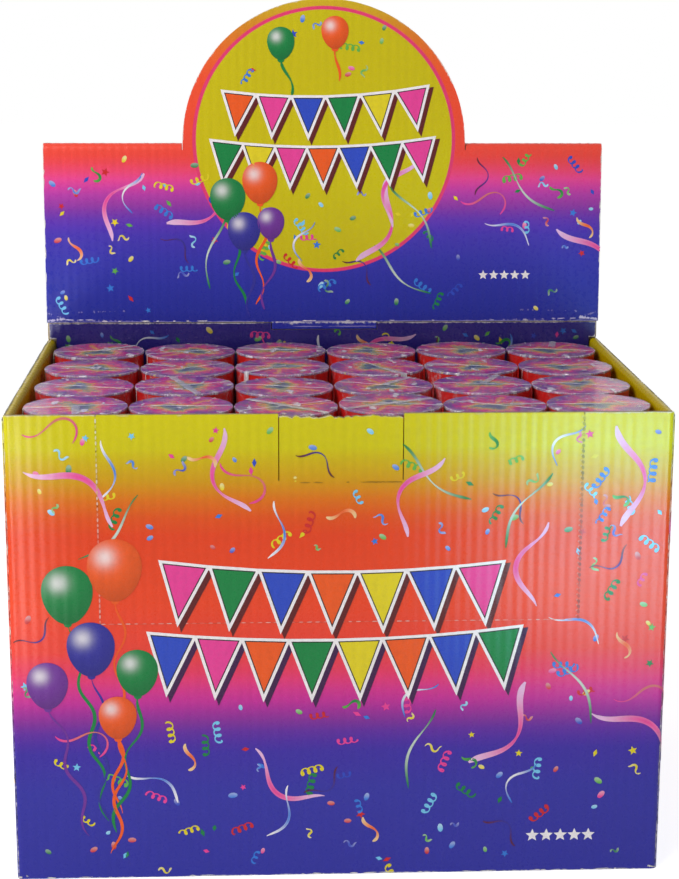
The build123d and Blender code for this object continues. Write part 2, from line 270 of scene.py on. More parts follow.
class Wire:
    """A socket in a node tree. Operators on it add Math nodes, and node() adds any other kind."""

    def __init__(self, tree, socket=None):
        """Keeps the tree, and the socket if there is one."""
        self.tree = tree
        self.socket = socket

    def node(self, kind, settings=None, inputs=None, out=0):
        """Adds a node: its settings first, then the values or links of its sockets. Returns one output."""
        made = self.tree.nodes.new("ShaderNode" + kind)
        for name, value in (settings or {}).items():
            if name == "stops":
                elements = made.color_ramp.elements
                elements.remove(elements[0])
                elements[0].position, elements[0].color = value[0]
                for place, colour in value[1:]:
                    elements.new(place).color = colour
            elif name == "blend":
                made.color_ramp.interpolation = value
            else:
                setattr(made, name, value)
        for name, value in (inputs or {}).items():
            if isinstance(value, Wire):
                self.tree.links.new(value.socket, made.inputs[name])
            else:
                made.inputs[name].default_value = value
        return Wire(self.tree, made.outputs[out] if made.outputs else None)

    def math(self, operation, *others):
        """One Math node on this value and the others."""
        return self.node("Math", {"operation": operation}, dict(enumerate((self, *others))))

    def __add__(self, other):
        """Sum of two values."""
        return self.math("ADD", other)

    def __sub__(self, other):
        """This value less the other."""
        return self.math("SUBTRACT", other)

    def __rsub__(self, other):
        """The other value less this one."""
        return self.node("Math", {"operation": "SUBTRACT"}, {0: other, 1: self})

    def __mul__(self, other):
        """Product of two values."""
        return self.math("MULTIPLY", other)

    def __truediv__(self, other):
        """This value over the other."""
        return self.math("DIVIDE", other)

    __radd__ = __add__
    __rmul__ = __mul__

    def step(self, low, high):
        """Smooth step from 0 at low to 1 at high."""
        return self.node("MapRange", {"interpolation_type": "SMOOTHSTEP"}, {0: self, 1: low, 2: high})

    def ramp(self, stops, blend="LINEAR"):
        """Colour ramp on this value."""
        return self.node("ValToRGB", {"stops": stops, "blend": blend}, {0: self})

    def mix(self, other, share):
        """This colour mixed with another by a share."""
        return self.node("Mix", {"data_type": "RGBA"}, {0: share, 6: self, 7: other}, out=2)

    def noise(self, scale, detail=3.0, roughness=0.5):
        """Noise on this vector."""
        settings = {"Vector": self, "Scale": scale, "Detail": detail, "Roughness": roughness}
        return self.node("TexNoise", inputs=settings)

    def axes(self):
        """The three parts of this vector."""
        return [self.node("SeparateXYZ", inputs={0: self}, out=axis) for axis in range(3)]

    def stretched(self, x, y, z):
        """This vector scaled by axis."""
        return self.node("VectorMath", {"operation": "MULTIPLY"}, {0: self, 1: (x, y, z)})

    def bump(self, strength, distance):
        """Surface normal from this height."""
        return self.node("Bump", inputs={"Height": self, "Strength": strength, "Distance": distance})


def new_finish(name):
    """Material with an empty tree, a wire to build it on, and its object coordinates in metres."""
    material = bpy.data.materials.new(name)
    material.use_nodes = True
    material.node_tree.nodes.clear()
    wire = Wire(material.node_tree)
    return material, wire, wire.node("TexCoord", out=3)


def shaded(material, wire, colour, rough, normal=None, gloss=0.5, **others):
    """Closes a material with one shader: its colour, roughness, surface normal, gloss and other sockets."""
    sockets = {"Base Color": colour, "Roughness": rough, "Specular IOR Level": gloss, **others}
    if normal is not None:
        sockets["Normal"] = normal
    wire.node("OutputMaterial", inputs={"Surface": wire.node("BsdfPrincipled", inputs=sockets)})
    return material


# Print colours, and fades as rows of a distance and a print colour
paper_white = paint(226, 222, 214)
print_gloss = 0.26
flap_gloss = 0.06
print_edge = 0.2
front_fade = [
    (0.0, 40, 42, 154), (30.0, 48, 46, 160), (43.0, 58, 38, 160),
    (46.5, 76, 36, 160), (50.0, 98, 37, 158), (53.3, 130, 40, 152),
    (56.8, 164, 40, 152), (60.2, 196, 44, 150), (63.5, 212, 50, 140),
    (66.9, 226, 56, 120), (70.0, 230, 58, 96), (77.0, 234, 66, 52),
    (93.0, 235, 70, 32), (115.0, 228, 66, 20), (121.0, 224, 82, 14),
    (126.4, 220, 112, 6), (132.8, 207, 154, 0), (139.0, 205, 178, 0),
    (143.0, 207, 197, 0), (153.7, 210, 201, 0),
]
header_fade = [
    (0.0, 24, 32, 138), (5.5, 28, 38, 150), (14.5, 36, 42, 160),
    (23.5, 48, 46, 168), (29.5, 60, 46, 171), (32.5, 66, 46, 173),
    (35.6, 80, 44, 175), (38.6, 96, 46, 172), (41.6, 124, 48, 164),
    (44.5, 152, 52, 160), (47.5, 178, 56, 164), (50.5, 208, 60, 158),
    (53.5, 232, 68, 142), (56.4, 236, 68, 110), (59.4, 237, 68, 78),
    (62.3, 238, 70, 58), (66.0, 240, 74, 54), (74.0, 242, 76, 48),
    (91.0, 240, 82, 44), (100.0, 232, 104, 38), (106.0, 220, 122, 34),
    (111.0, 212, 142, 30), (115.0, 206, 164, 28), (119.5, 204, 178, 28),
]
lid_fade = [
    (0.0, 226, 58, 40), (12.0, 240, 74, 40), (30.0, 236, 70, 26),
    (42.0, 222, 104, 12), (52.0, 202, 160, 2), (60.0, 200, 188, 4),
    (71.0, 200, 188, 4),
]


def fade(distance, stops):
    """Print that fades through the colours of its rows, at their distances in millimetres."""
    first, last = stops[0][0], stops[-1][0]
    share = (distance - first * metre) / ((last - first) * metre)
    return share.ramp([((place - first) / (last - first), paint(*colour)) for place, *colour in stops])


def printed(name, colour_of, gloss=print_gloss):
    """Glossy print on a board liner: the given colour, mottled, scuffed to paper where the board is worn."""
    material, wire, whole = new_finish(name)
    colour = colour_of(*whole.axes())
    mottle = whole.noise(700.0, 4.0, 0.6)
    cloud = whole.noise(28.0, 2.0)
    streaks = whole.stretched(0.22, 0.22, 1.0).noise(1900.0, 3.0, 0.6)
    share = mottle.step(0.35, 0.75) * 0.45 + cloud.step(0.4, 0.7) * 0.2
    toned = colour.mix(colour.stretched(0.9, 0.88, 0.92), share)
    wear = wire.node("Attribute", {"attribute_name": "ink"}, out=2)
    grain = whole.noise(900.0, 4.0, 0.7)
    patch = whole.noise(75.0, 3.0, 0.6)
    scuff = (wear * 0.5 + grain * 0.5 + patch * 0.5).step(0.86, 1.04)
    worn = toned.mix(paper_white, scuff * 0.75)
    rough = 0.23 + mottle * 0.1 + scuff * 0.3
    normal = (streaks + mottle * 0.4).bump(0.3, 0.00006)
    return shaded(material, wire, worn, rough, normal, gloss)


def front_colour(x, y, z):
    """Yellow at the rim through orange, red and magenta to blue at the foot."""
    return fade(z, front_fade)


def flap_colour_with_painted_shade(x, y, z):
    """Yellow of the rim, carried over the fold, with painted shade: darker and browner down inside the wall.
    """
    return fade(z, [(90.0, 156, 86, 0), (138.0, 168, 108, 0), (154.0, 186, 164, 0)])


def header_colour(x, y, z):
    """Blue at the crease to red at the fold, with a yellow disc in a pink ring on the arch."""
    up = (z - crease[1] * metre) / np.cos(lean)
    rise = up - disc_height * metre
    reach = (x * x + rise * rise).math("SQRT") / metre
    sun = fade(up, [(16.0, 200, 187, 0), (60.0, 204, 190, 0), (118.0, 198, 185, 2)])
    ring = reach.step(ring_radius + print_edge, ring_radius - print_edge)
    ringed = fade(up, header_fade).mix(paint(226, 58, 110), ring)
    return ringed.mix(sun, reach.step(disc_radius + print_edge, disc_radius - print_edge))


def tuck_colour_with_painted_shade(x, y, z):
    """Blue below the crease, darker than the header as painted shade, and darker towards its foot."""
    return fade(z, [(128.0, 26, 20, 86), (150.0, 30, 22, 90), (160.4, 36, 28, 104)])


def lid_colour(x, y, z):
    """Red at the fold to yellow at the back crease."""
    down = (crease[1] + straight_height * np.cos(lean)) * metre - z
    return fade(down, lid_fade)


def shade_of(colour, share):
    """Colour with its channels times a share, at most 1."""
    return (*[min(1.0, channel * share) for channel in colour[:3]], 1.0)


def plain_liner(name, base, rough):
    """Unprinted paper: fibres along the flutes, flecks and slow stains."""
    material, wire, whole = new_finish(name)
    fibre = whole.stretched(1.0, 1.0, 0.12).noise(3200.0, 4.0, 0.65)
    stain = whole.noise(40.0, 3.0)
    fleck = whole.noise(1500.0, 2.0).step(0.66, 0.74)
    shades = [(0.0, shade_of(base, 0.78)), (1.0, shade_of(base, 1.12))]
    tone = (fibre * 0.7 + stain * 0.3).step(0.3, 0.7).ramp(shades)
    flecked = tone.mix(shade_of(base, 0.5), fleck * 0.5)
    return shaded(material, wire, flecked, rough + fibre * 0.1, fibre.bump(0.25, 0.0001), 0.25)


def ink_film(name):
    """Printed ink in the colour its sheet carries, with the gloss of the board's print."""
    material, wire, whole = new_finish(name)
    colour = wire.node("Attribute", {"attribute_name": "ink"})
    mottle = whole.noise(900.0, 4.0, 0.6)
    toned = colour.mix(colour.stretched(0.8, 0.8, 0.84), mottle.step(0.35, 0.75) * 0.5)
    return shaded(material, wire, toned, 0.23 + mottle * 0.1, mottle.bump(0.1, 0.00005), print_gloss)


front_print = printed("front_print", front_colour)
# The dust flaps' print carries painted shade from its colour: darker down inside the wall.
flap_print = printed("flap_print", flap_colour_with_painted_shade, flap_gloss)
header_print = printed("header_print", header_colour)
tuck_print_and_painted_shade = printed("tuck_print_and_painted_shade", tuck_colour_with_painted_shade)
lid_print = printed("lid_print", lid_colour)
inner_liner = plain_liner("inner_liner", paint(178, 160, 132), 0.78)
raw_board = plain_liner("raw_board", paint(164, 148, 118), 0.85)
ink = ink_film("ink")


def columns(*breaks, step=flute_step):
    """Even places between break points, which are all kept."""
    ends = np.sort(np.array(breaks, float))
    counts = np.ceil(np.diff(ends) / step - column_slack).astype(int)
    spans = zip(ends, ends[1:], counts)
    runs = [np.linspace(low, high, count, endpoint=False) for low, high, count in spans]
    return np.append(np.concatenate(runs), ends[-1])


def levelled(across, levels):
    """The same levels at every column."""
    return np.broadcast_to(levels, (across.size, len(levels)))


def within(across, half):
    """Cells between columns whose middle lies within a half width of the middle line."""
    return (np.abs(across[:-1] + across[1:]) / 2 < half)[:, None]


def spread(x, y, z):
    """Points of a grid, from three arrays that fit each other."""
    return np.stack(np.broadcast_arrays(x, y, z), -1)


def edge_wear(*gaps):
    """Wear that is 1 on an edge and fades to 0 a little way in, from the distances to the edges."""
    return np.clip(1 - np.minimum.reduce(np.broadcast_arrays(*gaps)) / wear_width, 0, 1)


def slab(shell, place, u, v, top, bottom, kept, slots, wear):
    """Closed layer between two depths on the kept cells of a grid, with sides where no cell is next."""
    n, m = u.shape
    points = np.stack([place(u, v, top), place(u, v, bottom)])
    face, back = np.arange(2 * n * m).reshape(2, n, m)
    beside = np.pad(kept, 1)
    right = beside[:-1, 1:-1] & ~beside[1:, 1:-1]
    left = beside[1:, 1:-1] & ~beside[:-1, 1:-1]
    above = beside[1:-1, :-1] & ~beside[1:-1, 1:]
    below = beside[1:-1, 1:] & ~beside[1:-1, :-1]
    parts = [
        (slots[0], kept, face[:-1, :-1], face[1:, :-1], face[1:, 1:], face[:-1, 1:]),
        (slots[1], kept, back[:-1, :-1], back[:-1, 1:], back[1:, 1:], back[1:, :-1]),
        (slots[2], right, back[:, :-1], back[:, 1:], face[:, 1:], face[:, :-1]),
        (slots[2], left, face[:, :-1], face[:, 1:], back[:, 1:], back[:, :-1]),
        (slots[2], above, back[:-1], face[:-1], face[1:], back[1:]),
        (slots[2], below, back[1:], face[1:], face[:-1], back[:-1]),
    ]
    quads = [np.stack([corner[mask] for corner in corners], 1) for _, mask, *corners in parts]
    face_slots = np.repeat([slot for slot, *_ in parts], [len(part) for part in quads])
    worn = np.broadcast_to(wear, u.shape)
    inks = np.repeat(np.stack([worn, worn])[..., None], 4, -1)
    shell.add(points.reshape(-1, 3), np.concatenate(quads), face_slots, inks.reshape(-1, 4))


def liner_sag(u):
    """Depth of the printed liner between flute tips: a cosine from tip to tip, deeper at some flutes."""
    return np.interp(u / flute_pitch, flute_marks, flute_sags) * (1 - np.cos(turn * u / flute_pitch)) / 2


def board(shell, place, across, along, kept=None, wear=0.0):
    """Corrugated board on a grid of columns across the flutes and levels along them.

    The printed liner sinks between the flute tips, the medium runs from liner to liner as a cosine wave, and
    the inner liner is flat on its glued side. place(u, v, depth) gives the points.
    """
    u = np.broadcast_to(across[:, None], along.shape)
    kept = np.ones(np.subtract(along.shape, 1), bool) if kept is None else kept
    sag = liner_sag(u)
    middle = board_thick / 2 - flute_height * np.cos(turn * u / flute_pitch)
    full = np.zeros_like(along)
    slab(shell, place, u, along, sag, full + liner, kept, (print_slot, raw_slot, raw_slot), wear)
    medium = (middle - medium_thick / 2, middle + medium_thick / 2)
    slab(shell, place, u, along, *medium, kept, (raw_slot, raw_slot, raw_slot), 0.0)
    inner = (full + board_thick - liner, board_thick - sag * inner_sag)
    slab(shell, place, u, along, *inner, kept, (raw_slot, plain_slot, raw_slot), 0.0)


def faced(face):
    """Finishes of a board: its printed face, its inner liner and its cut edges."""
    return [face, inner_liner, raw_board]


def board_piece(name, node, body, slot, face, place, across, along, kept=None, wear=0.0):
    """One panel of board, made as a piece that stands for its node."""
    shell = Shell()
    board(shell, place, across, along, kept, wear)
    shell.piece(name, body, slot, faced(face), [node])


# Plan of the four walls, from the middle of the front and counter-clockwise
half_run = half_width - corner_radius
side_run = 2 * (half_depth - corner_radius)
bend = quarter * corner_radius
corner = (bend, quarter)
wall_runs = [
    (half_run, 0), corner, (side_run, 0), corner, (2 * half_run, 0), corner,
    (side_run, 0), corner, (half_run, 0),
]
plan = Path((0, -half_depth), 0, wall_runs, -1)


def wall_place(u, v, depth):
    """Upright wall: a place along the plan, a height, and a depth under the printed face."""
    x, y = plan.at(np.mod(u, plan.length), depth)
    return spread(x, y, v)


def edged(low, high, *middle):
    """Levels from low to high that crowd at both ends, where the wear is."""
    near = np.array([0.0, near_edge, wear_width])
    return np.concatenate([low + near, middle, (high - near)[::-1]])


# Front wall round the window that the tear-out panel fills
front_end = half_run + bend / 2
across = columns(-front_end, -half_run, -window_half, window_half, half_run, front_end)
levels = edged(0.0, carton_height, 40.0, window_low - wear_width, window_low, 110.0, 130.0)
along = levelled(across, levels)
solid = ~(within(across, window_half) & (levels[:-1] >= window_low - hair))
wear = edge_wear(front_end - np.abs(across[:, None]), along, carton_height - along)
board_piece(
    "front_wall_board", "front_wall", "carton", "printed_front", front_print, wall_place,
    across, along, solid, wear
)

# Side walls and back wall
wall_ends = front_end + np.cumsum([0.0, side_run + bend, 2 * half_run + bend, side_run + bend])
wall_tops = {"right_wall": side_top, "back_wall": carton_height, "left_wall": side_top}
for (name, top), low, high in zip(wall_tops.items(), wall_ends, wall_ends[1:]):
    across = columns(low, high)
    along = levelled(across, edged(0.0, top, 40.0, 80.0, 120.0))
    wear = edge_wear(across[:, None] - low, high - across[:, None], along, top - along)
    board_piece(
        name + "_board", name, "carton", "printed_sides", front_print, wall_place, across, along, None, wear
    )

# Tear-out panel, with paper nicks that hold it in its window
tear_wear = 0.6
nick = 0.26
nick_depths = (0.05, 0.2)
tear_panel = Shell()
across = columns(tear_low[0], -lock_half, lock_half, tear_high[0])
levels = edged(tear_low[2], tear_high[2], 110.0, lock_low[2])
along = levelled(across, levels)
solid = ~(within(across, lock_half) & (levels[:-1] >= lock_low[2] - hair))
wear = edge_wear(tear_high[0] - np.abs(across[:, None]), along - tear_low[2], tear_high[2] - along)
board(tear_panel, wall_place, across, along, solid, tear_wear * wear)


def nicks(starts, length, box):
    """Row of small paper ties: a thin strip for each start, as long and as wide as its box says."""
    for start in starts:
        u, v = np.meshgrid(*np.linspace(*box(start, start + length), 3).T, indexing="ij")
        top, bottom = [np.full_like(u, depth) for depth in nick_depths]
        solid = np.ones((2, 2), bool)
        slab(tear_panel, wall_place, u, v, top, bottom, solid, (print_slot, raw_slot, raw_slot), 0.0)


upright_marks = np.arange(tear_low[2] + 1.0, tear_high[2] - 2.0, 2.2)
nicks(upright_marks, 1.8, lambda low, high: ((tear_low[0] - nick, low), (tear_low[0], high)))
nicks(upright_marks, 1.7, lambda low, high: ((tear_high[0], low), (tear_high[0] + nick, high)))
level_marks = np.arange(tear_low[0] + 1.0, tear_high[0] - 2.0, 2.6)
nicks(level_marks, 2.2, lambda low, high: ((low, tear_low[2] - nick), (high, tear_low[2])))
tear_panel.piece("tear_panel_board", "tear_panel", "printed_front", faced(front_print), ["tear_panel"])

# Lock flap, torn along its top
rag_count = 30
across = columns(lock_low[0], lock_high[0], step=flute_step / 2)
rag_places = np.linspace(lock_low[0], lock_high[0], rag_count)
rag = np.interp(across, rag_places, chance.uniform(-0.4, 0.6, rag_count))
top = lock_high[2] + rag + chance.uniform(-0.12, 0.12, across.size)
share = np.array([0.0, 0.03, 0.1, 0.5, 0.9, 0.97, 1.0])
along = lock_low[2] + share * (top[:, None] - lock_low[2])
board_piece(
    "lock_flap_board", "lock_flap", "lock_flap", "printed_front", front_print, wall_place,
    across, along, None, edge_wear(top[:, None] - along)
)

# Dust flaps, over the side walls and down inside them
fold_spare = 0.7
flap_low, flap_high = node_box("left_dust_flap")
flap_radius = (flap_high - flap_low)[0] / 2
flap_bend = np.pi * flap_radius
flap_half = flap_high[1]
flap_runs = [(flap_bend, -np.pi), (side_top - flap_low[2], 0)]
flap_path = Path((-half_width, side_top), quarter, flap_runs, 1)


def left_flap_place(u, v, depth):
    """Left dust flap: a place from back to front, and a distance over the fold and down."""
    x, z = flap_path.at(v, depth)
    return spread(x, -u, z)


def right_flap_place(u, v, depth):
    """Right dust flap: the left one in a mirror, with its columns from front to back."""
    x, z = flap_path.at(v, depth)
    return spread(-x, u, z)


flap_places = {"left": left_flap_place, "right": right_flap_place}
flap_ends = flap_path.length - np.array([50.0, 30.0, 10.0, wear_width, near_edge, 0.0])
across = columns(-flap_half, flap_half)
along = levelled(across, np.concatenate([np.linspace(0, flap_bend, 13), flap_ends]))
fold_gap = np.abs(along - flap_bend / 2) + fold_spare
wear = edge_wear(flap_half - np.abs(across[:, None]), fold_gap, flap_path.length - along)
for side, place in flap_places.items():
    name = side + "_dust_flap"
    board_piece(
        name + "_board", name, "carton", "printed_flap", flap_print, place, across, along, None, wear
    )

# Glue tab inside the right wall
tab_low, tab_high = node_box("glue_tab")


def tab_place(u, v, depth):
    """Glue tab: a place towards the back and a height, set in from the right wall."""
    return spread(tab_high[0] - depth, u, v)


across = columns(tab_low[1], tab_high[1])
along = levelled(across, edged(tab_low[2], tab_high[2]))
board_piece("glue_tab_board", "glue_tab", "carton", "plain_board", inner_liner, tab_place, across, along)

# Bottom flaps: the outer pair under the inner pair
seam_half = 0.3
seam_place = 8.0
bottom_low, bottom_high = node_box("bottom_outer_flaps")


def outer_bottom_place(u, v, depth):
    """Outer bottom flap, printed side down: columns along X, flutes from back to front."""
    return spread(u, -v, depth)


def inner_bottom_place(u, v, depth):
    """Inner bottom flap, on the outer pair: columns along Y, flutes along X."""
    return spread(v, u, board_thick + depth)


outer_flaps = Shell()
across = columns(bottom_low[0], bottom_high[0])
for low, high in ((-bottom_high[1], -seam_place - seam_half), (-seam_place + seam_half, -bottom_low[1])):
    board(outer_flaps, outer_bottom_place, across, levelled(across, edged(low, high)))
outer_finishes, inner_finishes = faced(front_print), faced(inner_liner)
outer_flaps.piece("bottom_outer_board", "carton", "printed_sides", outer_finishes, ["bottom_outer_flaps"])
inner_flaps = Shell()
across = columns(bottom_low[1], bottom_high[1])
for low, high in ((bottom_low[0], -seam_half), (seam_half, bottom_high[0])):
    board(inner_flaps, inner_bottom_place, across, levelled(across, edged(low, high)))
inner_flaps.piece("bottom_inner_board", "carton", "plain_board", inner_finishes, ["bottom_inner_flaps"])

# Header: lower panel with its notch tab, arch, and the rounded folds on both sides of the arch
fold_bend = np.pi * fold_radius
fold_end = straight_height + fold_bend
lid_path = Path(crease, quarter - lean, [(straight_height, 0), (fold_bend, -np.pi), (lid_length, 0)], 1)
no_edge = 9.0


def header_place(x, reach, depth):
    """Face of the header: up the leaning front, then straight on in the arch or over the top fold."""
    folded_y, folded_z = lid_path.at(reach, depth)
    straight_y = crease[0] + reach * np.sin(lean) + depth * np.cos(lean)
    straight_z = crease[1] + reach * np.cos(lean) - depth * np.sin(lean)
    straight = (np.abs(x) < arch_split) | (reach < straight_height)
    return spread(x, np.where(straight, straight_y, folded_y), np.where(straight, straight_z, folded_z))


rim_turns = arch_radius * np.sin(np.radians([72, 76, 79, 82, 84, 86, 88, 89]))
breaks = np.array([notch_half, *rim_turns, arch_radius, hole_radius, panel_half])
across = columns(*-breaks, *breaks)
arch = np.abs(across) < arch_split
arch_top = panel_height + np.sqrt(np.clip(arch_radius**2 - across**2, 0, None))
rise = np.where(arch, arch_top, fold_end) - straight_height
lower = np.array([
    -notch_depth, 0.0, near_edge, wear_width, 20.0, 40.0, straight_height - wear_width, straight_height
])
share = np.concatenate([np.linspace(0, 0.9, 10)[1:], [0.97, 0.99, 1.0]])
along = np.hstack([levelled(across, lower), straight_height + share * rise[:, None]])
cell = np.arange(along.shape[1] - 1)
cut = within(across, hole_radius) & ~within(across, arch_radius) & (cell >= lower.size - 1)
solid = ~((cell == 0) & ~within(across, notch_half)) & ~cut
rim_gap = np.abs(arch_radius - np.hypot(across[:, None], along - panel_height))
rim_gap = np.where(along > panel_height, rim_gap, no_edge)
fold_gap = np.where(arch[:, None], no_edge, np.abs(along - straight_height - fold_bend / 2))
wear = edge_wear(panel_half - np.abs(across[:, None]), np.abs(along), rim_gap, fold_gap)
board_piece(
    "header_board", "header_front_panel", "header", "printed_header", header_print, header_place,
    across, along, solid, wear
)


def lid_place(x, reach, depth):
    """Back half of the lid: down from the top fold, printed side to the back."""
    y, z = lid_path.at(reach, depth)
    return spread(x, y, z)


# Back half of the lid, with the hole that the arch came out of
hole_turns = hole_radius * np.sin(np.radians([72, 76, 79, 82, 84, 86, 87]))
breaks = np.array([*hole_turns, hole_radius, panel_half])
across = columns(*-breaks, *breaks)
hole = np.sqrt(np.clip(hole_radius**2 - across**2, 0, None)) - fold_radius
top = np.where(np.abs(across) < hole_radius, np.clip(hole, 0, None), 0.0)[:, None]
share = np.concatenate([[0.0, 0.012, 0.04], np.linspace(0.15, 0.9, 5), [0.97, 0.99, 1.0]])
along = fold_end + top + share * (lid_length - top)
wear = edge_wear(panel_half - np.abs(across[:, None]), along - fold_end - top, fold_end + lid_length - along)
board_piece(
    "lid_back_board", "lid_back_panel", "lid_back", "printed_sides", lid_print, lid_place,
    across, along, None, wear
)

# Tuck flap under the crease, with the notch and its cut corners
tuck_taper = 6.0
tuck_cut = 0.05
notch_gap = notch_half + cut_gap
notch_level = tuck_high[2] - notch_depth
ear_half = panel_half - 0.9
ear_low = carton_height + 0.6
tuck_half = tuck_high[0]


def tuck_place(u, v, depth):
    """Tuck flap: upright, printed side to the front."""
    return spread(u, tuck_low[1] + depth, v)


def tuck_foot(u):
    """Lower edge of the tuck flap, level and then rising as its corners are cut."""
    return tuck_low[2] + np.clip(np.abs(u) - (tuck_half - tuck_taper), 0, None)


breaks = np.array([notch_gap, tuck_half - tuck_taper, tuck_half, tuck_half + tuck_cut, ear_half])
across = columns(*-breaks, *breaks)
low = np.where(np.abs(across) > tuck_half + tuck_cut / 2, ear_low, tuck_foot(across))[:, None]
share = np.array([0.0, 0.02, 0.06, 0.4, 0.7])
upper = [notch_level, tuck_high[2] - near_edge, tuck_high[2]]
along = np.hstack([low + share * (notch_level - low), levelled(across, upper)])
solid = ~(within(across, notch_gap) & (np.arange(along.shape[1] - 1) >= share.size))
wear = edge_wear(ear_half - np.abs(across[:, None]), along - low, tuck_high[2] - along)
board_piece(
    "tuck_flap_board", "lid_tuck_flap", "tuck_flap", "printed_header", tuck_print_and_painted_shade, tuck_place,
    across, along, solid, wear
)

# Inks of the party design
pink, lilac, purple = paint(232, 66, 150), paint(232, 190, 224), paint(112, 48, 150)
green, leaf, mint = paint(10, 128, 62), paint(96, 176, 70), paint(206, 218, 208)
blue, navy, azure, sky = paint(44, 74, 190), paint(48, 46, 150), paint(52, 122, 214), paint(120, 200, 236)
red, orange, yellow = paint(204, 36, 40), paint(238, 92, 30), paint(226, 208, 34)
sand, rust = paint(240, 206, 150), paint(206, 120, 96)
white, teal = paint(244, 240, 240), paint(96, 186, 206)
maroon, plum, dark_line = paint(92, 20, 22), paint(58, 16, 68), paint(26, 20, 24)
bit_inks = [red, yellow, leaf, azure, blue, pink, green, sky, yellow, azure]


class Art(Shell):
    """Ink films on one panel: a shell that knows where the panel's flat places lie."""

    def __init__(self, place):
        """Starts empty, on the panel that a place function gives."""
        super().__init__()
        self.place = place


def lay(art, flat, colour, layer):
    """Ink film: a flat grid of panel places set on the board's face, a little prouder for each layer."""
    depth = liner_sag(flat[..., 0]) - ink_lift - ink_layer * layer
    art.grid(art.place(flat[..., 0], flat[..., 1], depth), 0, colour, flat)


def blend(first, second, share):
    """Ink or place between two, by the share of the second."""
    return np.array(first) + share * (np.array(second) - np.array(first))


def sides_of(corners):
    """Closed outline through corners, with points an ink step apart."""
    ends = np.roll(corners, -1, 0)
    counts = (np.hypot(*(ends - corners).T) / ink_step).astype(int) + 1
    sides = zip(corners, ends, counts)
    return np.concatenate([np.linspace(low, high, count, endpoint=False) for low, high, count in sides])


def fill(art, outline, colour, layer, centre=None):
    """Filled shape: its closed outline drawn in to its middle on even rings."""
    closed = np.vstack([outline, outline[:1]])
    centre = outline.mean(0) if centre is None else centre
    rings = np.linspace(0, 1, int(np.hypot(*(closed - centre).T).max() / ink_step) + 2)
    flat = centre + rings[:, None, None] * (closed - centre)
    lay(art, flat, colour(flat) if callable(colour) else colour, layer)


def oval(centre, wide, tall, tilt=0.0, count=12):
    """Closed oval outline, turned by a tilt."""
    x, z = np.array([wide, tall])[:, None] * heading_of(np.linspace(0, turn, count, endpoint=False)).T
    cosine, sine = heading_of(tilt)
    return np.array(centre) + np.stack([x * cosine - z * sine, x * sine + z * cosine], 1)


def star(centre, radius, tilt):
    """Closed outline of a five-pointed star: ten corners at two radii in turn."""
    reach = radius * np.where(np.arange(10) % 2, 0.45, 1.0)
    return np.array(centre) + reach[:, None] * heading_of(tilt + np.arange(10) * turn / 10)


def ribbon(art, line, half, colour, layer):
    """Ribbon of ink: a line of points with a half width at each, square to the line."""
    run = np.gradient(line, axis=0)
    left = np.stack([-run[:, 1], run[:, 0]], 1) / np.hypot(*run.T)[:, None]
    across = np.array([-1.0, 0.0, 1.0])
    flat = line[:, None] + (left * np.broadcast_to(half, len(line))[:, None])[:, None] * across[:, None]
    lay(art, flat, colour, layer + np.linspace(0, 1, len(line))[:, None])


def streamer(art, start, heading, length, swing, waves, width, ends, middle, layer):
    """Streamer: a line whose heading swings as a sine, as wide as the cosine of its twist, in two inks."""
    t = np.linspace(0, 1, int(length / ink_step) + 4)
    angle = np.radians(heading) + swing * np.sin(turn * waves * t)
    line = np.array(start) + np.cumsum(heading_of(angle), 0) * length / t.size
    half = width / 2 * (0.4 + 0.6 * np.abs(np.cos(turn * (0.25 + 0.6 * t) + heading)))
    half = half * np.sqrt(np.clip(np.sin(np.pi * t) * 4, 0.12, 1))
    share = (np.sin(np.pi * t)[:, None] ** 2 * np.array([0.8, 1.0, 0.8]))[..., None]
    ribbon(art, line, half, blend(ends, middle, share), layer)


def spring(art, start, heading, length, coil, turns, colour):
    """Corkscrew: a straight run plus a circle that goes round on it."""
    t = np.linspace(0, 1, int(turns * 12) + 1)
    along = length * t + coil * 0.7 * np.cos(turn * turns * t)
    aside = coil * np.sin(turn * turns * t)
    cosine, sine = heading_of(np.radians(heading))
    line = np.array(start) + np.stack([along * cosine - aside * sine, along * sine + aside * cosine], 1)
    ribbon(art, line, 0.14 + 0.2 * np.abs(np.cos(turn * turns * t)), colour, bit_layer)


def pennants(art, left, right, drop, size, shadow, colours):
    """Bunting: pennants that hang from a parabola between two points, with shadows and white edges."""
    left, span = np.array(left), np.subtract(right, left)
    t = np.linspace(0, 1, 120)
    string = left + t[:, None] * span - np.stack([0 * t, 4 * drop * t * (1 - t)], 1)
    cord = string[:, None] + np.array([[0.0, -0.45], [0.0, 0.45]])
    lay(art, cord + np.array([0.9, -0.9]), shadow, 6.2)
    lay(art, cord, white, 7)
    wide, tall = size
    inset = wide * tall / (wide + 2 * np.hypot(wide / 2, tall))
    for index, colour in enumerate(colours):
        share = (index + 0.5) / len(colours)
        middle = left + share * span - np.array([0, 4 * drop * share * (1 - share)])
        slope = (span[1] - 4 * drop * (1 - 2 * share)) / span[0]
        along = np.array([1, slope]) / np.hypot(1, slope)
        down = np.array([along[1], -along[0]])
        corners = middle + np.array([-along * wide / 2, down * tall, along * wide / 2])
        centre = middle + down * inset
        coats = [(1.5, 1.2, shadow, 6.5), (1.3, 0, white, 7.5)]
        coats += [(0.35, 0, dark_line, 8.5), (0, 0, colour, 9.5)]
        for growth, cast, tone, layer in coats:
            shift = np.array([cast, -cast])
            grown = centre + (corners - centre) * (1 + growth / inset) + shift
            fill(art, sides_of(grown), tone, layer, centre + shift)


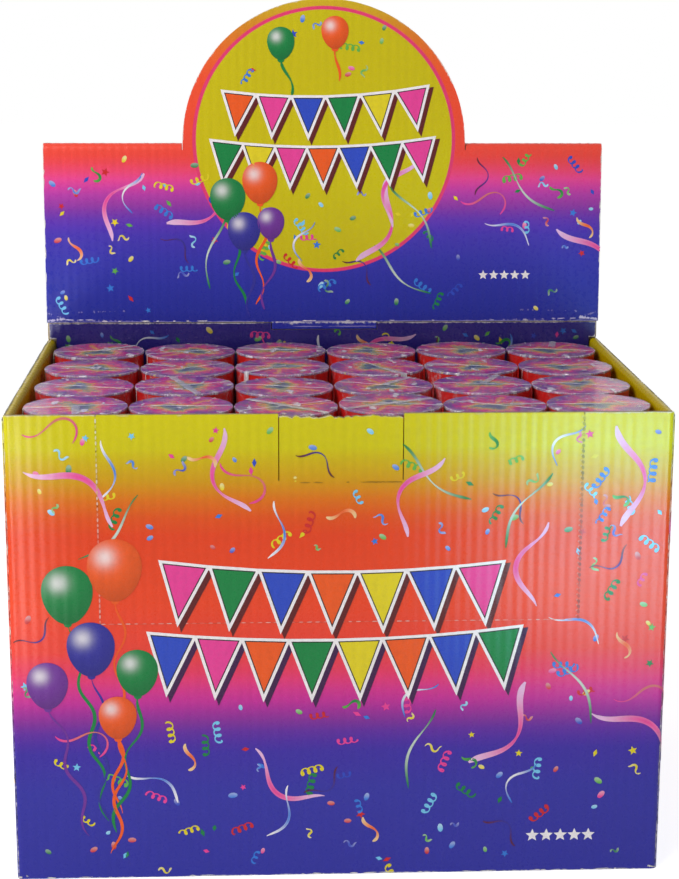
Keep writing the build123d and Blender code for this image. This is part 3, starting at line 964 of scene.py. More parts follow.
def balloon(art, centre, radius, colour, tail):
    """Balloon: an oval that narrows to its knot, lit on one side, on a wavy string.

    The tail gives the string's length, the degrees that it leans by, and its layer.
    """
    centre = np.array(centre)
    angle = np.linspace(0, turn, int(turn * radius / ink_step), endpoint=False)
    taper = 1 + 0.14 * np.sin(angle)
    outline = centre + radius * np.stack([np.cos(angle) * taper, 1.2 * np.sin(angle)], 1)
    glow = centre + radius * np.array([-0.35, 0.5])

    def lit(flat):
        """Colour that pales near the glow and darkens away from it."""
        away = np.linalg.norm(flat - glow, axis=-1, keepdims=True) / radius
        deep = 1 - 0.32 * np.clip(away - 0.7, 0, 1)
        return blend(np.array(colour) * deep, white, 0.75 * np.exp(-((away / 0.38) ** 2)))

    knot = centre - np.array([0, 1.2 * radius])
    length, slant, layer = tail
    streamer(art, knot, slant - 90, length, 0.5, length / 22, 1.1, colour, colour, layer)
    fill(art, oval(knot, 1.3, 1.0, 0, 8), colour, knot_layer)
    fill(art, outline, lit, balloon_layer)


# Kinds of streamer: length, width, swing, waves, colour at the ends, colour in the middle
streamer_kinds = [
    (38, 2.1, 0.7, 0.9, lilac, pink), (30, 0.9, 0.4, 0.8, green, mint),
    (26, 0.8, 1.5, 0.7, pink, rust), (22, 0.9, 0.7, 0.8, white, azure),
    (12, 1.2, 1.4, 0.6, sand, orange), (34, 1.7, -0.8, 0.9, lilac, pink),
    (18, 0.6, 0.9, 1.0, maroon, navy), (30, 0.9, -0.4, 0.8, green, mint),
    (9, 1.1, 1.5, 0.7, leaf, green), (20, 0.8, -0.9, 0.8, azure, white),
]


def inside(spots, boxes):
    """Whether each place lies in one of the boxes."""
    spots = np.atleast_2d(spots)
    found = np.zeros(len(spots), bool)
    for low, high in boxes:
        found |= np.all((spots > low) & (spots < high), 1)
    return found


def strew(art, low, high, cell, kept_out=()):
    """Streamers of each kind in turn, one to a cell of a grid, set off at random from its middle."""
    low, high = np.array(low), np.array(high)
    counts = ((high - low) / cell).round().astype(int)
    wide = counts[0]
    for index in range(counts.prod()):
        row, column = divmod(index, wide)
        spot = low + (high - low) / counts * (np.array([column, row]) + chance.uniform(0.1, 0.9, 2))
        kind = streamer_kinds[(index + 3 * row) % len(streamer_kinds)]
        length, width, swing, waves, ends, middle = kind
        heading = chance.uniform(-150, -30)
        run = heading_of(np.radians(heading)) * length / 2
        begin = np.clip(spot - run, low + 2, high - 2)
        if inside(spot, kept_out)[0] or (begin + 2 * run)[1] < low[1]:
            continue
        layer = ribbon_layer + 0.3 * (index % 11)
        streamer(art, begin, heading, length, swing, waves, width, ends, middle, layer)


def paling(colour, pale, level):
    """Ink that pales upward across a bit whose middle is at a level."""
    return lambda flat: blend(colour, pale, np.clip(0.5 + (flat[..., 1:] - level) / 1.6, 0, 1))


def scatter(art, low, high, count, kept_out=()):
    """Confetti: ovals lit on one side, lozenges, corkscrews, waves and stars, outside the clear boxes."""
    spots = chance.uniform(low, high, (count, 2))
    draws = chance.uniform(0, 1, (count, 4))
    clear = ~inside(spots, kept_out)
    for spot, (kind, size, tilt, tone) in zip(spots[clear], draws[clear]):
        colour = bit_inks[int(tone * len(bit_inks))]
        pale = blend(colour, white, 0.35)
        if kind < 0.34:
            bit = oval(spot, 0.9 + 0.7 * size, 0.6 + 0.35 * size, tilt * turn, 10)
            fill(art, bit, paling(colour, pale, spot[1]), bit_layer)
        elif kind < 0.52:
            fill(art, sides_of(oval(spot, 1.1 + 0.5 * size, 0.7, tilt * turn, 4)), colour, bit_layer)
        elif kind < 0.74:
            spring(art, spot, tilt * 360, 4.5 + 3.5 * size, 0.8 + 0.4 * size, 2.3 + 1.4 * size, colour)
        elif kind < 0.88:
            streamer(art, spot, tilt * 360, 4 + 5 * size, 1.2, 1.2, 0.8, pale, colour, bit_layer)
        else:
            fill(art, sides_of(star(spot, 1.1 + 0.6 * size, tilt * turn)), colour, bit_layer, spot)


def scuffs(art, start, end, count, size, colour=paper_white):
    """Specks of rubbed print strewn along an edge or crease."""
    spots = blend(start, end, chance.uniform(0, 1, (count, 1)))
    for spot, (wide, tall, tilt) in zip(spots, chance.uniform(0.15, 1, (count, 3))):
        fill(art, oval(spot, size * wide, size * 0.6 * tall, tilt * 6, 7), colour, wear_and_shade_layer)


def wear_and_shade_dashes(art, start, end, count, colour, longest=9.0):
    """Fine dashes of varied length along an edge or crease, each a little ragged: wear where the ink is pale,
    and painted shade where dark dashes line a rounded corner or fold.
    """
    start, end = np.array(start, float), np.array(end, float)
    run = (end - start) / np.hypot(*(end - start))
    for share, length, width in chance.uniform(0, 1, (count, 3)):
        length = 1.0 + longest * length**2
        reach = np.linspace(0, length, int(length / ink_step) + 3)[:, None]
        line = blend(start, end, share) + run * reach
        line = np.where(run > 0, np.minimum(line, np.maximum(start, end)), line)
        ragged = chance.uniform(-0.06, 0.06, len(line))[:, None]
        creep = np.arange(len(line))[:, None] * ink_creep
        line = line + ragged * np.array([-run[1], run[0]]) + run * creep
        half = (0.07 + 0.14 * width) * np.sin(np.linspace(0.2, 2.9, len(line)))
        ribbon(art, line, half, colour, wear_and_shade_layer)


def confetti_print(art, low, high, cell, count):
    """Streamers and then bits over a whole panel."""
    strew(art, low, high, cell)
    scatter(art, low, high, count)


def star_row(art, first, pitch, radius):
    """Row of five white stars, from the first one's middle."""
    for index in range(5):
        centre = (first[0] + pitch * index, first[1])
        fill(art, sides_of(star(centre, radius, quarter)), white, star_layer, centre)


def party(art, drop, strings, balloons):
    """Strings of bunting that hang by a drop, and the balloons over them."""
    for left, right, size, shadow, colours in strings:
        pennants(art, left, right, drop, size, shadow, colours)
    for centre, radius, colour, tail in balloons:
        balloon(art, centre, radius, colour, tail)


def front_ink(height, shade):
    """Colour of the front's print at a height, darkened by a shade."""
    levels = [level for level, *_ in front_fade]
    channels = np.array([paint(*colour)[:3] for _, *colour in front_fade]).T
    return (*[shade * np.interp(height, levels, channel) for channel in channels], 1.0)


def pale_ink(height, share):
    """Colour of the front's print at a height, with a share of bare paper."""
    return tuple(blend(front_ink(height, 1.0), paper_white, share))


# Print on the front: bunting, balloons, streamers, confetti and stars
front_strings = [
    ((-57, 106), (52, 105), (12.8, 16.5), maroon, [pink, green, blue, orange, yellow, blue, pink]),
    ((-61, 82.5), (58, 83.5), (12.4, 16.5), plum, [blue, pink, orange, green, yellow, orange, blue, green]),
]
front_balloons = [
    ((-86, 96), 8.0, green, (72, 8, 4.0)), ((-71, 104), 8.5, orange, (76, -2, 4.5)),
    ((-79, 78), 7.5, navy, (58, 2, 5.0)), ((-93, 66), 6.5, purple, (48, 14, 5.5)),
    ((-64.5, 70), 6.5, green, (50, -12, 6.0)), ((-71, 55), 6.0, orange, (42, -5, 6.5)),
]
front_clear = [((-66, 58), (62, 110)), ((-97, 46), (-60, 112))]
front_art = Art(wall_place)
party(front_art, 3.5, front_strings, front_balloons)
strew(front_art, (-101, 4), (101, 152), 22.0, [*front_clear, ((54, 4), (92, 24))])
scatter(front_art, (-101, 3), (101, 150), 230, [*front_clear, ((60, 8), (84, 17))])
star_row(front_art, (63, 12.5), 4.6, 2.3)

# Tear line: on its right side dark dents of painted shade, each with a pale lip of painted highlight; beads
# on its left and dashes at its foot
for height in np.arange(tear_low[2] + 0.6, tear_high[2] - 1.5, 1.75):
    # Dark dent of painted shade beside each cut, and a pale lip of painted highlight above it.
    painted_dent_shade = oval((tear_high[0] + 0.1, height), 0.5, 0.6, 0.3, 8)
    fill(front_art, painted_dent_shade, front_ink(height, chance.uniform(0.34, 0.75)), cut_layer)
    painted_lip_highlight = oval((tear_high[0] - 0.5, height + 0.55), 0.24, 0.4, -0.5, 8)
    fill(front_art, painted_lip_highlight, pale_ink(height, 0.3), cut_layer)
    bead = oval((tear_low[0] - 0.15, height), 0.26, 0.55 + chance.uniform(0, 0.3), 0, 8)
    fill(front_art, bead, pale_ink(height, chance.uniform(0.2, 0.75)), cut_layer)
for spot in np.arange(tear_low[0] + 0.8, tear_high[0] - 1.5, 2.6):
    dash = oval((spot, tear_low[2] - 0.15), 0.6 + chance.uniform(0, 0.4), 0.17, 0, 8)
    fill(front_art, dash, pale_ink(tear_low[2], chance.uniform(0.1, 0.6)), cut_layer)

# Marks on the front: pale wear along its rim and foot, dark dashes along the crease of the lock flap, and at
# both corners pale wear and dark dashes of painted shade down the rounding
rim_line, foot_line, crease_line = 153.45, 0.4, lock_low[2] - 0.6
wear_and_shade_dashes(front_art, (-104, rim_line), (104, rim_line), 12, pale_ink(carton_height, 0.35), 6.0)
wear_and_shade_dashes(front_art, (-104, foot_line), (104, foot_line), 20, paper_white, 6.0)
wear_and_shade_dashes(front_art, (-19, crease_line), (19, crease_line), 9, front_ink(crease_line, 0.5))
for edge in (-front_end, front_end):
    wear_and_shade_dashes(front_art, (edge, 2), (edge, 150), 9, paper_white, 5.0)
    # Dark dashes down each rounded corner are painted shade.
    for height in np.arange(1.0, 150.0, 6.0):
        wear_and_shade_dashes(front_art, (edge, height), (edge, height + 6), 3, front_ink(height, 0.4))
    scuffs(front_art, (edge, 0.5), (edge - 3 * np.sign(edge), 1.2), 12, 0.5)

# Pieces of the front's print, parted at the tear line and round the lock flap
u, v = front_art.spots()
on_front = (v > 0) & (v < carton_height)
on_tear = (np.abs(u) < tear_high[0] + cut_gap / 2) & (v > tear_low[2] - cut_gap / 2)
on_lock = (np.abs(u) < lock_half - cut_gap / 2) & (v > lock_low[2])
on_flap = on_lock & (v > lock_low[2] + 0.6) & (v < lock_high[2] - 0.5)
front_art.piece("front_wall_print", "carton", "printed_front", [ink], kept=on_front & ~on_tear & ~on_lock)
front_art.piece("tear_panel_print", "tear_panel", "printed_front", [ink], kept=on_front & on_tear & ~on_lock)
front_art.piece("lock_flap_print", "lock_flap", "printed_front", [ink], kept=on_flap)

# Print on the header and the arch
header_strings = [
    ((-38, 85), (39, 87), (10.0, 12.0), maroon, [orange, pink, blue, green, yellow, pink]),
    ((-42, 67), (41, 68), (10.0, 12.0), maroon, [green, yellow, pink, orange, blue, green, pink]),
]
header_balloons = [
    ((-36, 46), 6.5, green, (34, 6, 4.0)), ((-24, 52), 6.5, orange, (40, -4, 4.5)),
    ((-30, 34), 6.0, navy, (26, 2, 5.0)), ((-20, 37), 5.0, purple, (28, -10, 5.5)),
    ((-16, 103), 5.0, green, (14, 6, 6.0)), ((4, 107), 5.0, orange, (12, -8, 6.5)),
]
header_clear = ((-45, 50), (46, 90))
header_art = Art(header_place)
party(header_art, 3.0, header_strings, header_balloons)
strew(header_art, (-101, 3), (101, 64), 19.0, [header_clear, ((-44, 26), (-12, 64)), ((52, 8), (84, 28))])
scatter(header_art, (-101, 3), (101, 62), 110, [header_clear, ((56, 15), (80, 21))])
scatter(header_art, (-30, 70), (30, 112), 26, [header_clear])
star_row(header_art, (60, 17.5), 4.0, 1.9)

# Wear of the header: its crease and notch tab, then the corners, the fold and the edge of each side
crease_pale, crease_white = paint(126, 120, 180), paint(196, 192, 222)
tab_line = 0.9 - notch_depth
wear_and_shade_dashes(header_art, (-103, 0.3), (103, 0.3), 60, crease_pale, 14.0)
wear_and_shade_dashes(header_art, (-103, 0.5), (103, 0.5), 16, paper_white, 4.0)
wear_and_shade_dashes(header_art, (-notch_half, tab_line), (notch_half, tab_line), 10, crease_pale, 14.0)
side_wear = [
    (scuffs, (103.5, 0.7), (97, 1.6), 22, 0.75, crease_white),
    (scuffs, (103.5, 1.0), (60, 0.5), 34, 0.6, crease_pale),
    (wear_and_shade_dashes, (104, 1.2), (86, 1.0), 9, crease_white, 3.0),
    (scuffs, (97, 1.4), (103.6, 3.6), 14, 0.5, crease_pale),
    (scuffs, (74, 4.4), (96, 3.8), 12, 0.55, crease_pale),
    (wear_and_shade_dashes, (54, 67.6), (103, 67.6), 14, paper_white, 5.0),
    (wear_and_shade_dashes, (103.9, 3), (103.9, 62), 9, paper_white, 4.0),
]
for side in (-1, 1):
    for mark, start, end, *look in side_wear:
        mark(header_art, (side * start[0], start[1]), (side * end[0], end[1]), *look)
u, v = header_art.spots()
aside, upper = np.abs(u), v >= straight_height
on_tab = (v > -notch_depth) & (v <= 0) & (aside < notch_half)
on_panel = (v > 0) & ~upper & (aside < panel_half)
in_circle = np.hypot(u, v - panel_height) < arch_radius
on_arch = upper & (aside < arch_radius) & ((v < panel_height) | in_circle)
on_fold = upper & (v < fold_end) & (aside > hole_radius) & (aside < panel_half)
on_header = on_tab | on_panel | on_arch | on_fold
header_art.piece("header_face_print", "header", "printed_header", [ink], kept=on_header)

# Print on the tuck flap, its inks dimmed as painted shade under the header
tuck_painted_shade = np.array([0.42, 0.42, 0.45, 1])
tuck_art = Art(tuck_place)
scatter(tuck_art, (-98, 130), (98, 158), 90)
strew(tuck_art, (-98, 130), (98, 158), 14.0)
tuck_art.inks = [np.array(inks) * tuck_painted_shade for inks in tuck_art.inks]
u, v = tuck_art.spots()
in_notch = (np.abs(u) < notch_gap) & (v > notch_level)
on_tuck = (v < tuck_high[2]) & (v > tuck_foot(u)) & (np.abs(u) < tuck_half) & ~in_notch
tuck_art.piece("tuck_flap_print", "tuck_flap", "printed_header", [ink], kept=on_tuck)

# Folds of the dust flaps: dark dashes of painted shade on the outer flank of the fold, and pale rubs of wear
# along its crest
fold_painted_shade = paint(74, 62, 18)
fold_shade_marks = [(share, 40, fold_painted_shade, 16.0) for share in (0.2, 0.24, 0.3, 0.36)]
for side, place in flap_places.items():
    flap_art = Art(place)
    for share, *look in [*fold_shade_marks, (0.5, 12, paper_white, 3.0)]:
        wear_and_shade_dashes(flap_art, (-flap_half, share * flap_bend), (flap_half, share * flap_bend), *look)
    on_flap = np.abs(flap_art.spots()[0]) < flap_half
    flap_art.piece(f"{side}_dust_flap_print", "carton", "printed_flap", [ink], kept=on_flap)

# Print on the sides and the back, and on the back of the lid, clear of its hole
wall_art = Art(wall_place)
for low, high in zip(wall_ends, wall_ends[1:]):
    confetti_print(wall_art, (low + 3, 4), (high - 3, 148), 22.0, int((high - low) * 1.1))
v = wall_art.spots()[1]
wall_art.piece("outer_walls_print", "carton", "printed_sides", [ink], kept=(v > 0) & (v < side_top))
lid_art = Art(lid_place)
for low, high in ((-101.0, -57.0), (57.0, 101.0)):
    confetti_print(lid_art, (low, fold_end + 4), (high, fold_end + lid_length - 4), 20.0, 40)
u, v = lid_art.spots()
on_lid = (np.abs(u) < panel_half) & (np.abs(u) > hole_radius) & (v > fold_end) & (v < fold_end + lid_length)
lid_art.piece("lid_back_print", "lid_back", "printed_sides", [ink], kept=on_lid)


def label_print(name, base, deep):
    """Coated label paper: one colour with a dark lap, a fine grain and small dots strewn over it."""
    material, wire, whole = new_finish(name)
    uv = wire.node("TexCoord", out=2)
    around, up, _ = uv.axes()
    grain = whole.noise(1100.0, 4.0, 0.6)
    cells = {"Vector": uv.stretched(20.0, 20.0, 0.0), "Scale": 1.0, "Randomness": 0.9}
    spot, tint = [wire.node("TexVoronoi", {"voronoi_dimensions": "2D"}, cells, out) for out in (0, 1)]
    pick = tint.node("SeparateColor", inputs={0: tint})
    dots = pick.ramp([(0.0, yellow), (0.3, teal), (0.5, white), (0.75, leaf)], "CONSTANT")
    shown = spot.step(0.17, 0.14) * up.step(1.16, 1.12)
    toned = grain.step(0.3, 0.7).ramp([(0.0, deep), (1.0, base)])
    lap = (around - 0.985).step(0.0, 0.002) * 0.25
    coloured = toned.mix(dots, shown).mix(paint(150, 20, 18), lap)
    return shaded(material, wire, coloured, 0.34 + grain * 0.12, grain.bump(0.1, 0.00005), 0.3)


def burst_print(name):
    """Round printed disc: a blue-grey middle, a burst of yellow, orange and pink rays, and a purple rim."""
    material, wire, _ = new_finish(name)
    uv = wire.node("TexCoord", out=2)
    x, y, _ = uv.axes()
    reach = (x * x + y * y).math("SQRT")
    angle = y.math("ARCTAN2", x)
    ray = angle.node("CombineXYZ", inputs={0: angle * 2.4, 1: reach * 1.2})
    rays = ray.noise(2.2, 3.0, 0.55)
    blots = uv.noise(1.5, 3.0, 0.55)
    warped = reach + (rays - 0.5) * 0.7 + (blots - 0.5) * 2.1
    stops = [
        (0.0, paint(78, 88, 108)), (0.14, paint(104, 124, 118)), (0.27, paint(152, 150, 92)),
        (0.39, paint(214, 164, 62)), (0.49, paint(222, 102, 76)), (0.58, paint(212, 56, 110)),
        (0.73, paint(186, 38, 120)), (0.9, paint(146, 40, 128)), (1.0, paint(112, 50, 124)),
    ]
    colour = warped.ramp(stops)
    curls = (uv.noise(5.5, 2.0, 0.5) - 0.5).math("ABSOLUTE").step(0.022, 0.008)
    curl_inks = [(0.0, paint(70, 60, 150)), (0.45, paint(60, 120, 120)), (0.55, yellow)]
    tints = uv.noise(3.1, 1.0).ramp(curl_inks, "CONSTANT")
    streak = uv.noise(10.0, 3.0, 0.7)
    marked = colour.mix(paint(70, 46, 124), streak.step(0.54, 0.68) * 0.46).mix(tints, curls * 0.55)
    return shaded(material, wire, marked, 0.3 + blots * 0.1, **{"Coat Weight": 0.2})


def clear_skin(name, body, haze, painted_glints, tint, scale, cloud=0.0, painted_sparkles=0.0):
    """Clear shrink film: see-through with a haze and a slow cloud, with painted glints as fine pale lines
    along its crinkles and painted sparkles as pale spots.
    """
    material, wire, whole = new_finish(name)
    crinkle = whole.stretched(1.0, 1.0, 0.35).noise(scale, 5.0, 0.65)
    wander = whole.stretched(1.0, 1.0, 0.35).noise(scale * 1.7, 3.0, 0.6)
    # The pale lines along the crinkles are painted glints, and the pale spots are painted sparkles.
    line = (wander - 0.5).math("ABSOLUTE").step(0.035, 0.004) * crinkle.step(0.46, 0.6)
    slow = whole.noise(85.0, 2.0).step(0.48, 0.7) * cloud
    painted_sparkle_spots = whole.stretched(1.0, 0.5, 1.0).noise(190.0, 2.0).step(0.64, 0.7) * painted_sparkles
    alpha = crinkle.step(0.42, 0.72) * haze + line * painted_glints + slow + painted_sparkle_spots + body
    return shaded(material, wire, tint, 0.1 + crinkle * 0.1, crinkle.bump(0.4, 0.0003), 0.7, Alpha=alpha)


def moulded(name, base, rough):
    """Moulded plastic: a fine orange-peel grain and slow changes of tone."""
    material, wire, whole = new_finish(name)
    peel = whole.noise(1400.0, 2.0)
    tone = whole.noise(60.0, 3.0)
    colour = tone.step(0.3, 0.7).ramp([(0.0, shade_of(base, 0.82)), (1.0, base)])
    return shaded(material, wire, colour, rough + peel * 0.12, peel.bump(0.1, 0.0001))


def metal(name, base, rough, stretch):
    """Drawn or turned metal: fine lines along or round the piece, and duller patches."""
    material, wire, whole = new_finish(name)
    lines = whole.stretched(*stretch).noise(900.0, 3.0, 0.6)
    dull = whole.noise(120.0, 3.0)
    colour = (lines * 0.5 + dull * 0.5).step(0.3, 0.7).ramp([(0.0, shade_of(base, 0.7)), (1.0, base)])
    return shaded(material, wire, colour, rough + dull * 0.15, lines.bump(0.15, 0.0001), Metallic=1.0)


def wound_board(name):
    """Grey chipboard tube: windings that climb round it, with dark butt lines and fibres."""
    material, wire, whole = new_finish(name)
    x, y, z = whole.axes()
    middle = joint_place("grip_twist") * metre
    angle = (y - middle[1]).math("ARCTAN2", x - middle[0])
    climb = (z / 0.03 + angle / turn).math("FRACT")
    butt = climb.step(0.03, 0.0)
    fibre = whole.stretched(1.0, 1.0, 0.4).noise(1800.0, 4.0, 0.7)
    tone = fibre.step(0.3, 0.7).ramp([(0.0, paint(128, 118, 104)), (1.0, paint(176, 164, 146))])
    colour = tone.mix(paint(84, 76, 66), butt * 0.8)
    return shaded(material, wire, colour, 0.8 + fibre * 0.1, (fibre - butt).bump(0.3, 0.0001))


red_label = label_print("red_label", paint(208, 18, 10), paint(188, 12, 8))
grip_label = label_print("grip_label", paint(170, 22, 24), paint(150, 16, 18))
plug_plastic = moulded("plug_plastic", paint(228, 226, 220), 0.42)
paper_edge = plain_liner("paper_edge", paint(206, 196, 180), 0.85)
burst = burst_print("burst_print")
# Each film below carries painted glints along its crinkles; the cap and the rim also carry painted sparkles.
clear_skirt = clear_skin("clear_skirt", 0.005, 0.02, 0.14, paint(238, 232, 242), 240.0)
clear_cap = clear_skin("clear_cap", 0.0, 0.05, 0.35, paint(248, 242, 248), 420.0, 0.05, 0.62)
# Film rim: denser where it folds over the disc, with a pale line and sparkles of painted highlight.
rim_film_fold_and_highlight = clear_skin("rim_film_fold_and_highlight", 0.14, 0.26, 0.4, paint(240, 230, 242), 300.0, 0.0, 0.7)
film_seam = clear_skin("film_seam", 0.46, 0.3, 0.3, paint(226, 224, 230), 200.0)
popper_finishes = [
    red_label, grip_label, plug_plastic, paper_edge, burst, clear_skirt, clear_cap, film_seam, rim_film_fold_and_highlight
]


def stood(points, stand):
    """Points of a popper set on the carton's floor at its place, and drawn to its own length."""
    x, y, length = stand
    return points * np.array([1, 1, length / film_top]) + np.array([x, y, popper_floor])


def round_about(radius, angle, height):
    """Points at a radius and an angle about an upright axis, and at a height."""
    return spread(radius * np.cos(angle), radius * np.sin(angle), height)


def turned(shell, stand, profile, slots, lap=0.0, swell=None, face_turn=None):
    """Surface of revolution about an upright axis, from radii and heights that run out, up, in and down.

    lap is how far the radius grows over one turn, as a wrapped label's does; the last column steps back to
    the first. swell(points) pushes the points out along the profile's normal. face_turn turns the print
    coordinates of a disc, which are otherwise the share of the turn and the height.
    """
    profile = np.array(profile, float)
    share = np.append(np.linspace(0, 1, round_columns), [1.0] if lap else [])
    grown = np.append(np.linspace(0, lap, round_columns), [0.0] if lap else [])
    angle = share[:, None] * turn
    radius = profile[:, 0] + grown[:, None] * (profile[:, 0] > label_inner)
    height = np.broadcast_to(profile[:, 1], radius.shape)
    points = round_about(radius, angle, height)
    if swell is not None:
        run = np.gradient(profile, axis=0)
        normal = np.stack([run[:, 1], -run[:, 0]], 1) / np.hypot(*run.T)[:, None]
        points = points + swell(points)[..., None] * round_about(normal[:, 0], angle, normal[:, 1])
    if face_turn is None:
        uv = np.stack(np.broadcast_arrays(share[:, None], height / 100), -1)
    else:
        uv = radius[..., None] * heading_of(angle + face_turn) / label_radius
    shell.grid(stood(points, stand), np.broadcast_to(slots, (1, len(profile) - 1)), uv=uv)


def tube(shell, stand, inner, low, high, slot):
    """Wrapped tube: label outside, paper edges at its ends, and its inner wall."""
    heights = np.linspace(low + label_edge, high - label_edge, 6)
    turned_in = label_radius - label_lap
    profile = [(inner, low), (turned_in, low), *[(label_radius, height) for height in heights]]
    profile += [(turned_in, high), (inner, high), (inner, low)]
    slots = [edge_slot, *[slot] * 7, edge_slot, edge_slot]
    turned(shell, stand, profile, slots, lap=label_lap)


def ripples(count, shortest, longest, height):
    """Crinkle in a film: a sum of sine waves that run in random directions."""
    run = chance.normal(size=(count, 3)) * np.array([1, 1, 0.35])
    run *= (turn / chance.uniform(shortest, longest, count) / np.linalg.norm(run, axis=1))[:, None]
    shift = chance.uniform(0, turn, count)
    return lambda points: height / count**0.5 * np.sin(points @ run.T + shift).sum(-1)


def film_strip(shell, stand, crinkle, strip_turn, share, half, drop):
    """Welded strip of film: up the skirt, over the rim and across a share of the top, with thin edges."""
    edge = film_radius + 0.05
    runs = [(drop, 0), (rim_round * quarter, -quarter), (2 * (edge - rim_round) * share, 0)]
    line = Path((-edge, film_top + 0.06 - rim_round - drop), quarter, runs, 1)
    reach = np.concatenate([np.linspace(0, drop, 6), np.linspace(drop, line.length, 32)[1:]])
    across = np.array([-1.0, -0.5, 0.0, 0.5, 1.0]) * half
    depths = np.array([0.07, -0.02, -0.03, -0.02, 0.07])
    along, up = line.at(reach[:, None], depths + 0 * reach[:, None])
    flat = spread(along, -across, up)
    lift = crinkle(flat)[..., None] * 0.55 * (up > film_top - 0.3)[..., None] * np.array([0, 0, 1])
    cosine, sine = heading_of(strip_turn)
    moved = (flat + lift) @ np.array([[cosine, sine, 0], [-sine, cosine, 0], [0, 0, 1]])
    shell.grid(stood(moved, stand), seam_slot)


def film(shell, stand, fold_turn, strip_turn, strip_share):
    """Film shrunk over the mouth: a crinkled skin that flares at the rim, its skirt, fold and weld."""
    crinkle = ripples(9, 1.8, 7.0, 0.1)
    rim = np.linspace(0, quarter, 6)
    shoulder = np.array([film_radius - rim_round, film_top - rim_round])
    rounded = shoulder + rim_round * heading_of(rim)
    upper = np.linspace(film_top - 4, film_top - flare_high, 5)
    heights = np.concatenate([np.linspace(film_low, film_top - flare_low, 9), upper])
    flare = np.clip((heights - film_top + flare_low) / (flare_low - flare_high), 0, 1) ** 2
    skirt = np.stack([skirt_radius + flare * (film_radius - skirt_radius), heights], 1)
    top = [(radius, film_top) for radius in np.linspace(shoulder[0] - 0.3, 0.0, 12)]
    outer = np.vstack([skirt, rounded, top])
    inner = (outer - film_thick)[::-1].clip(0, None)
    profile = np.vstack([outer, inner, outer[:1]])
    slots = np.where(profile[1:, 1] > film_top - 0.6, cap_slot, skirt_slot)
    mark = np.arange(1, len(profile))
    on_rim = (mark >= len(skirt)) & (mark < len(skirt) + len(rounded))
    # The rounded rim takes the rim film, denser where folded and carrying a painted highlight.
    slots = np.where(on_rim, rim_fold_and_highlight_slot, slots)

    def swell(points):
        """Crinkles that grow to the skirt and are drawn flat at the rim."""
        reach = np.hypot(points[..., 0], points[..., 1]) / film_radius
        near_rim = reach**8 * np.clip((points[..., 2] - film_top + 4) / 3, 0, 1)
        side = np.where(np.arange(points.shape[1]) < len(outer), 1.0, -1.0)
        return side * crinkle(points) * (0.55 + 0.45 * reach**2 - 0.6 * near_rim)

    turned(shell, stand, profile, slots, swell=swell)
    film_strip(shell, stand, crinkle, fold_turn, 1.0, 0.25, 5.0)
    if strip_share:
        film_strip(shell, stand, crinkle, strip_turn, strip_share, 1.25, 22.0)
    for tab_turn, tab_half in chance.uniform((0, 0.3), (turn, 0.9), (3, 2)):
        film_strip(shell, stand, crinkle, tab_turn, 0.05, tab_half, 0.6)


def plug(shell, stand):
    """Moulded end plug: a rounded flange with a sunk ring under it, and a skirt inside the tube."""
    profile = [
        (0, 0.5), (9.0, 0.5), (9.6, 0.0), (plug_round, 0.0), (label_radius, 0.45), (label_radius, 1.2),
        (plug_round, plug_flange), (bore - plug_slack, plug_flange), (bore - plug_slack, plug_depth),
        (plug_inner, plug_depth), (plug_inner, plug_flange), (0, plug_flange),
    ]
    turned(shell, stand, profile, plug_slot)


def disc(shell, stand, face_turn):
    """Printed disc over the mouth, a little dished and wider than the tube, with a paper edge."""
    rim = film_radius - film_thick - disc_gap
    rings = np.linspace(rim, 0, 9)
    face = [(radius, disc_top - disc_dish * (1 - (radius / rim) ** 2)) for radius in rings]
    profile = [(0, barrel_top), (rim, barrel_top), *face]
    slots = [edge_slot, *[disc_slot] * len(rings)]
    turned(shell, stand, profile, slots, face_turn=face_turn)


# Poppers: 23 in one piece each, and the sample with a piece for each of its outer parts
first_low, first_high = node_box("popper_r1c1")
second_low = node_box("popper_r1c2")[0]
pitch = second_low[0] - first_low[0]
first = (first_low + first_high)[:2] / 2
sample_parts = [
    ("barrel", "barrel_label", "barrel", "red_label"), ("grip", "grip_label", "grip", "red_label"),
    ("plug", "base_plug", "grip", "moulded_plug"), ("disc", "top_disc", "cover", "printed_disc"),
    ("film", "shrink_film", "cover", "clear_film"),
]
rows, row_length = 4, 6
filling = (rows, row_length)
strip_turns = chance.uniform(0, turn, filling)
strip_shares = chance.choice([0.0, 0.35, 0.5, 1.0], filling)
face_turns = chance.uniform(0, turn, filling)
fold_turns = chance.normal(0, 0.35, filling)
popper_lengths = film_top - chance.uniform(0.3, 0.95, filling)
for row in range(rows):
    for column in range(row_length):
        spot = (row, column)
        name = f"popper_r{row + 1}c{column + 1}"
        sample = name not in frame["nodes"]
        place = first + np.array([column, row]) * pitch
        stand = (*place, film_top if sample else popper_lengths[spot])
        wall = label_inner if sample else bore
        whole = Shell()
        parts = {part: Shell() if sample else whole for part, *_ in sample_parts}
        tube(parts["barrel"], stand, wall, barrel_low, barrel_top, label_slot)
        tube(parts["grip"], stand, wall, plug_flange, grip_top, grip_slot)
        plug(parts["plug"], stand)
        disc(parts["disc"], stand, face_turns[spot])
        film(parts["film"], stand, fold_turns[spot], strip_turns[spot], strip_shares[spot])
        if not sample:
            whole.piece(name + "_dressed", name, "red_label", popper_finishes, [name])
            continue
        for part, node, body, slot in sample_parts:
            parts[part].piece(node + "_dressed", body, slot, popper_finishes, [node])

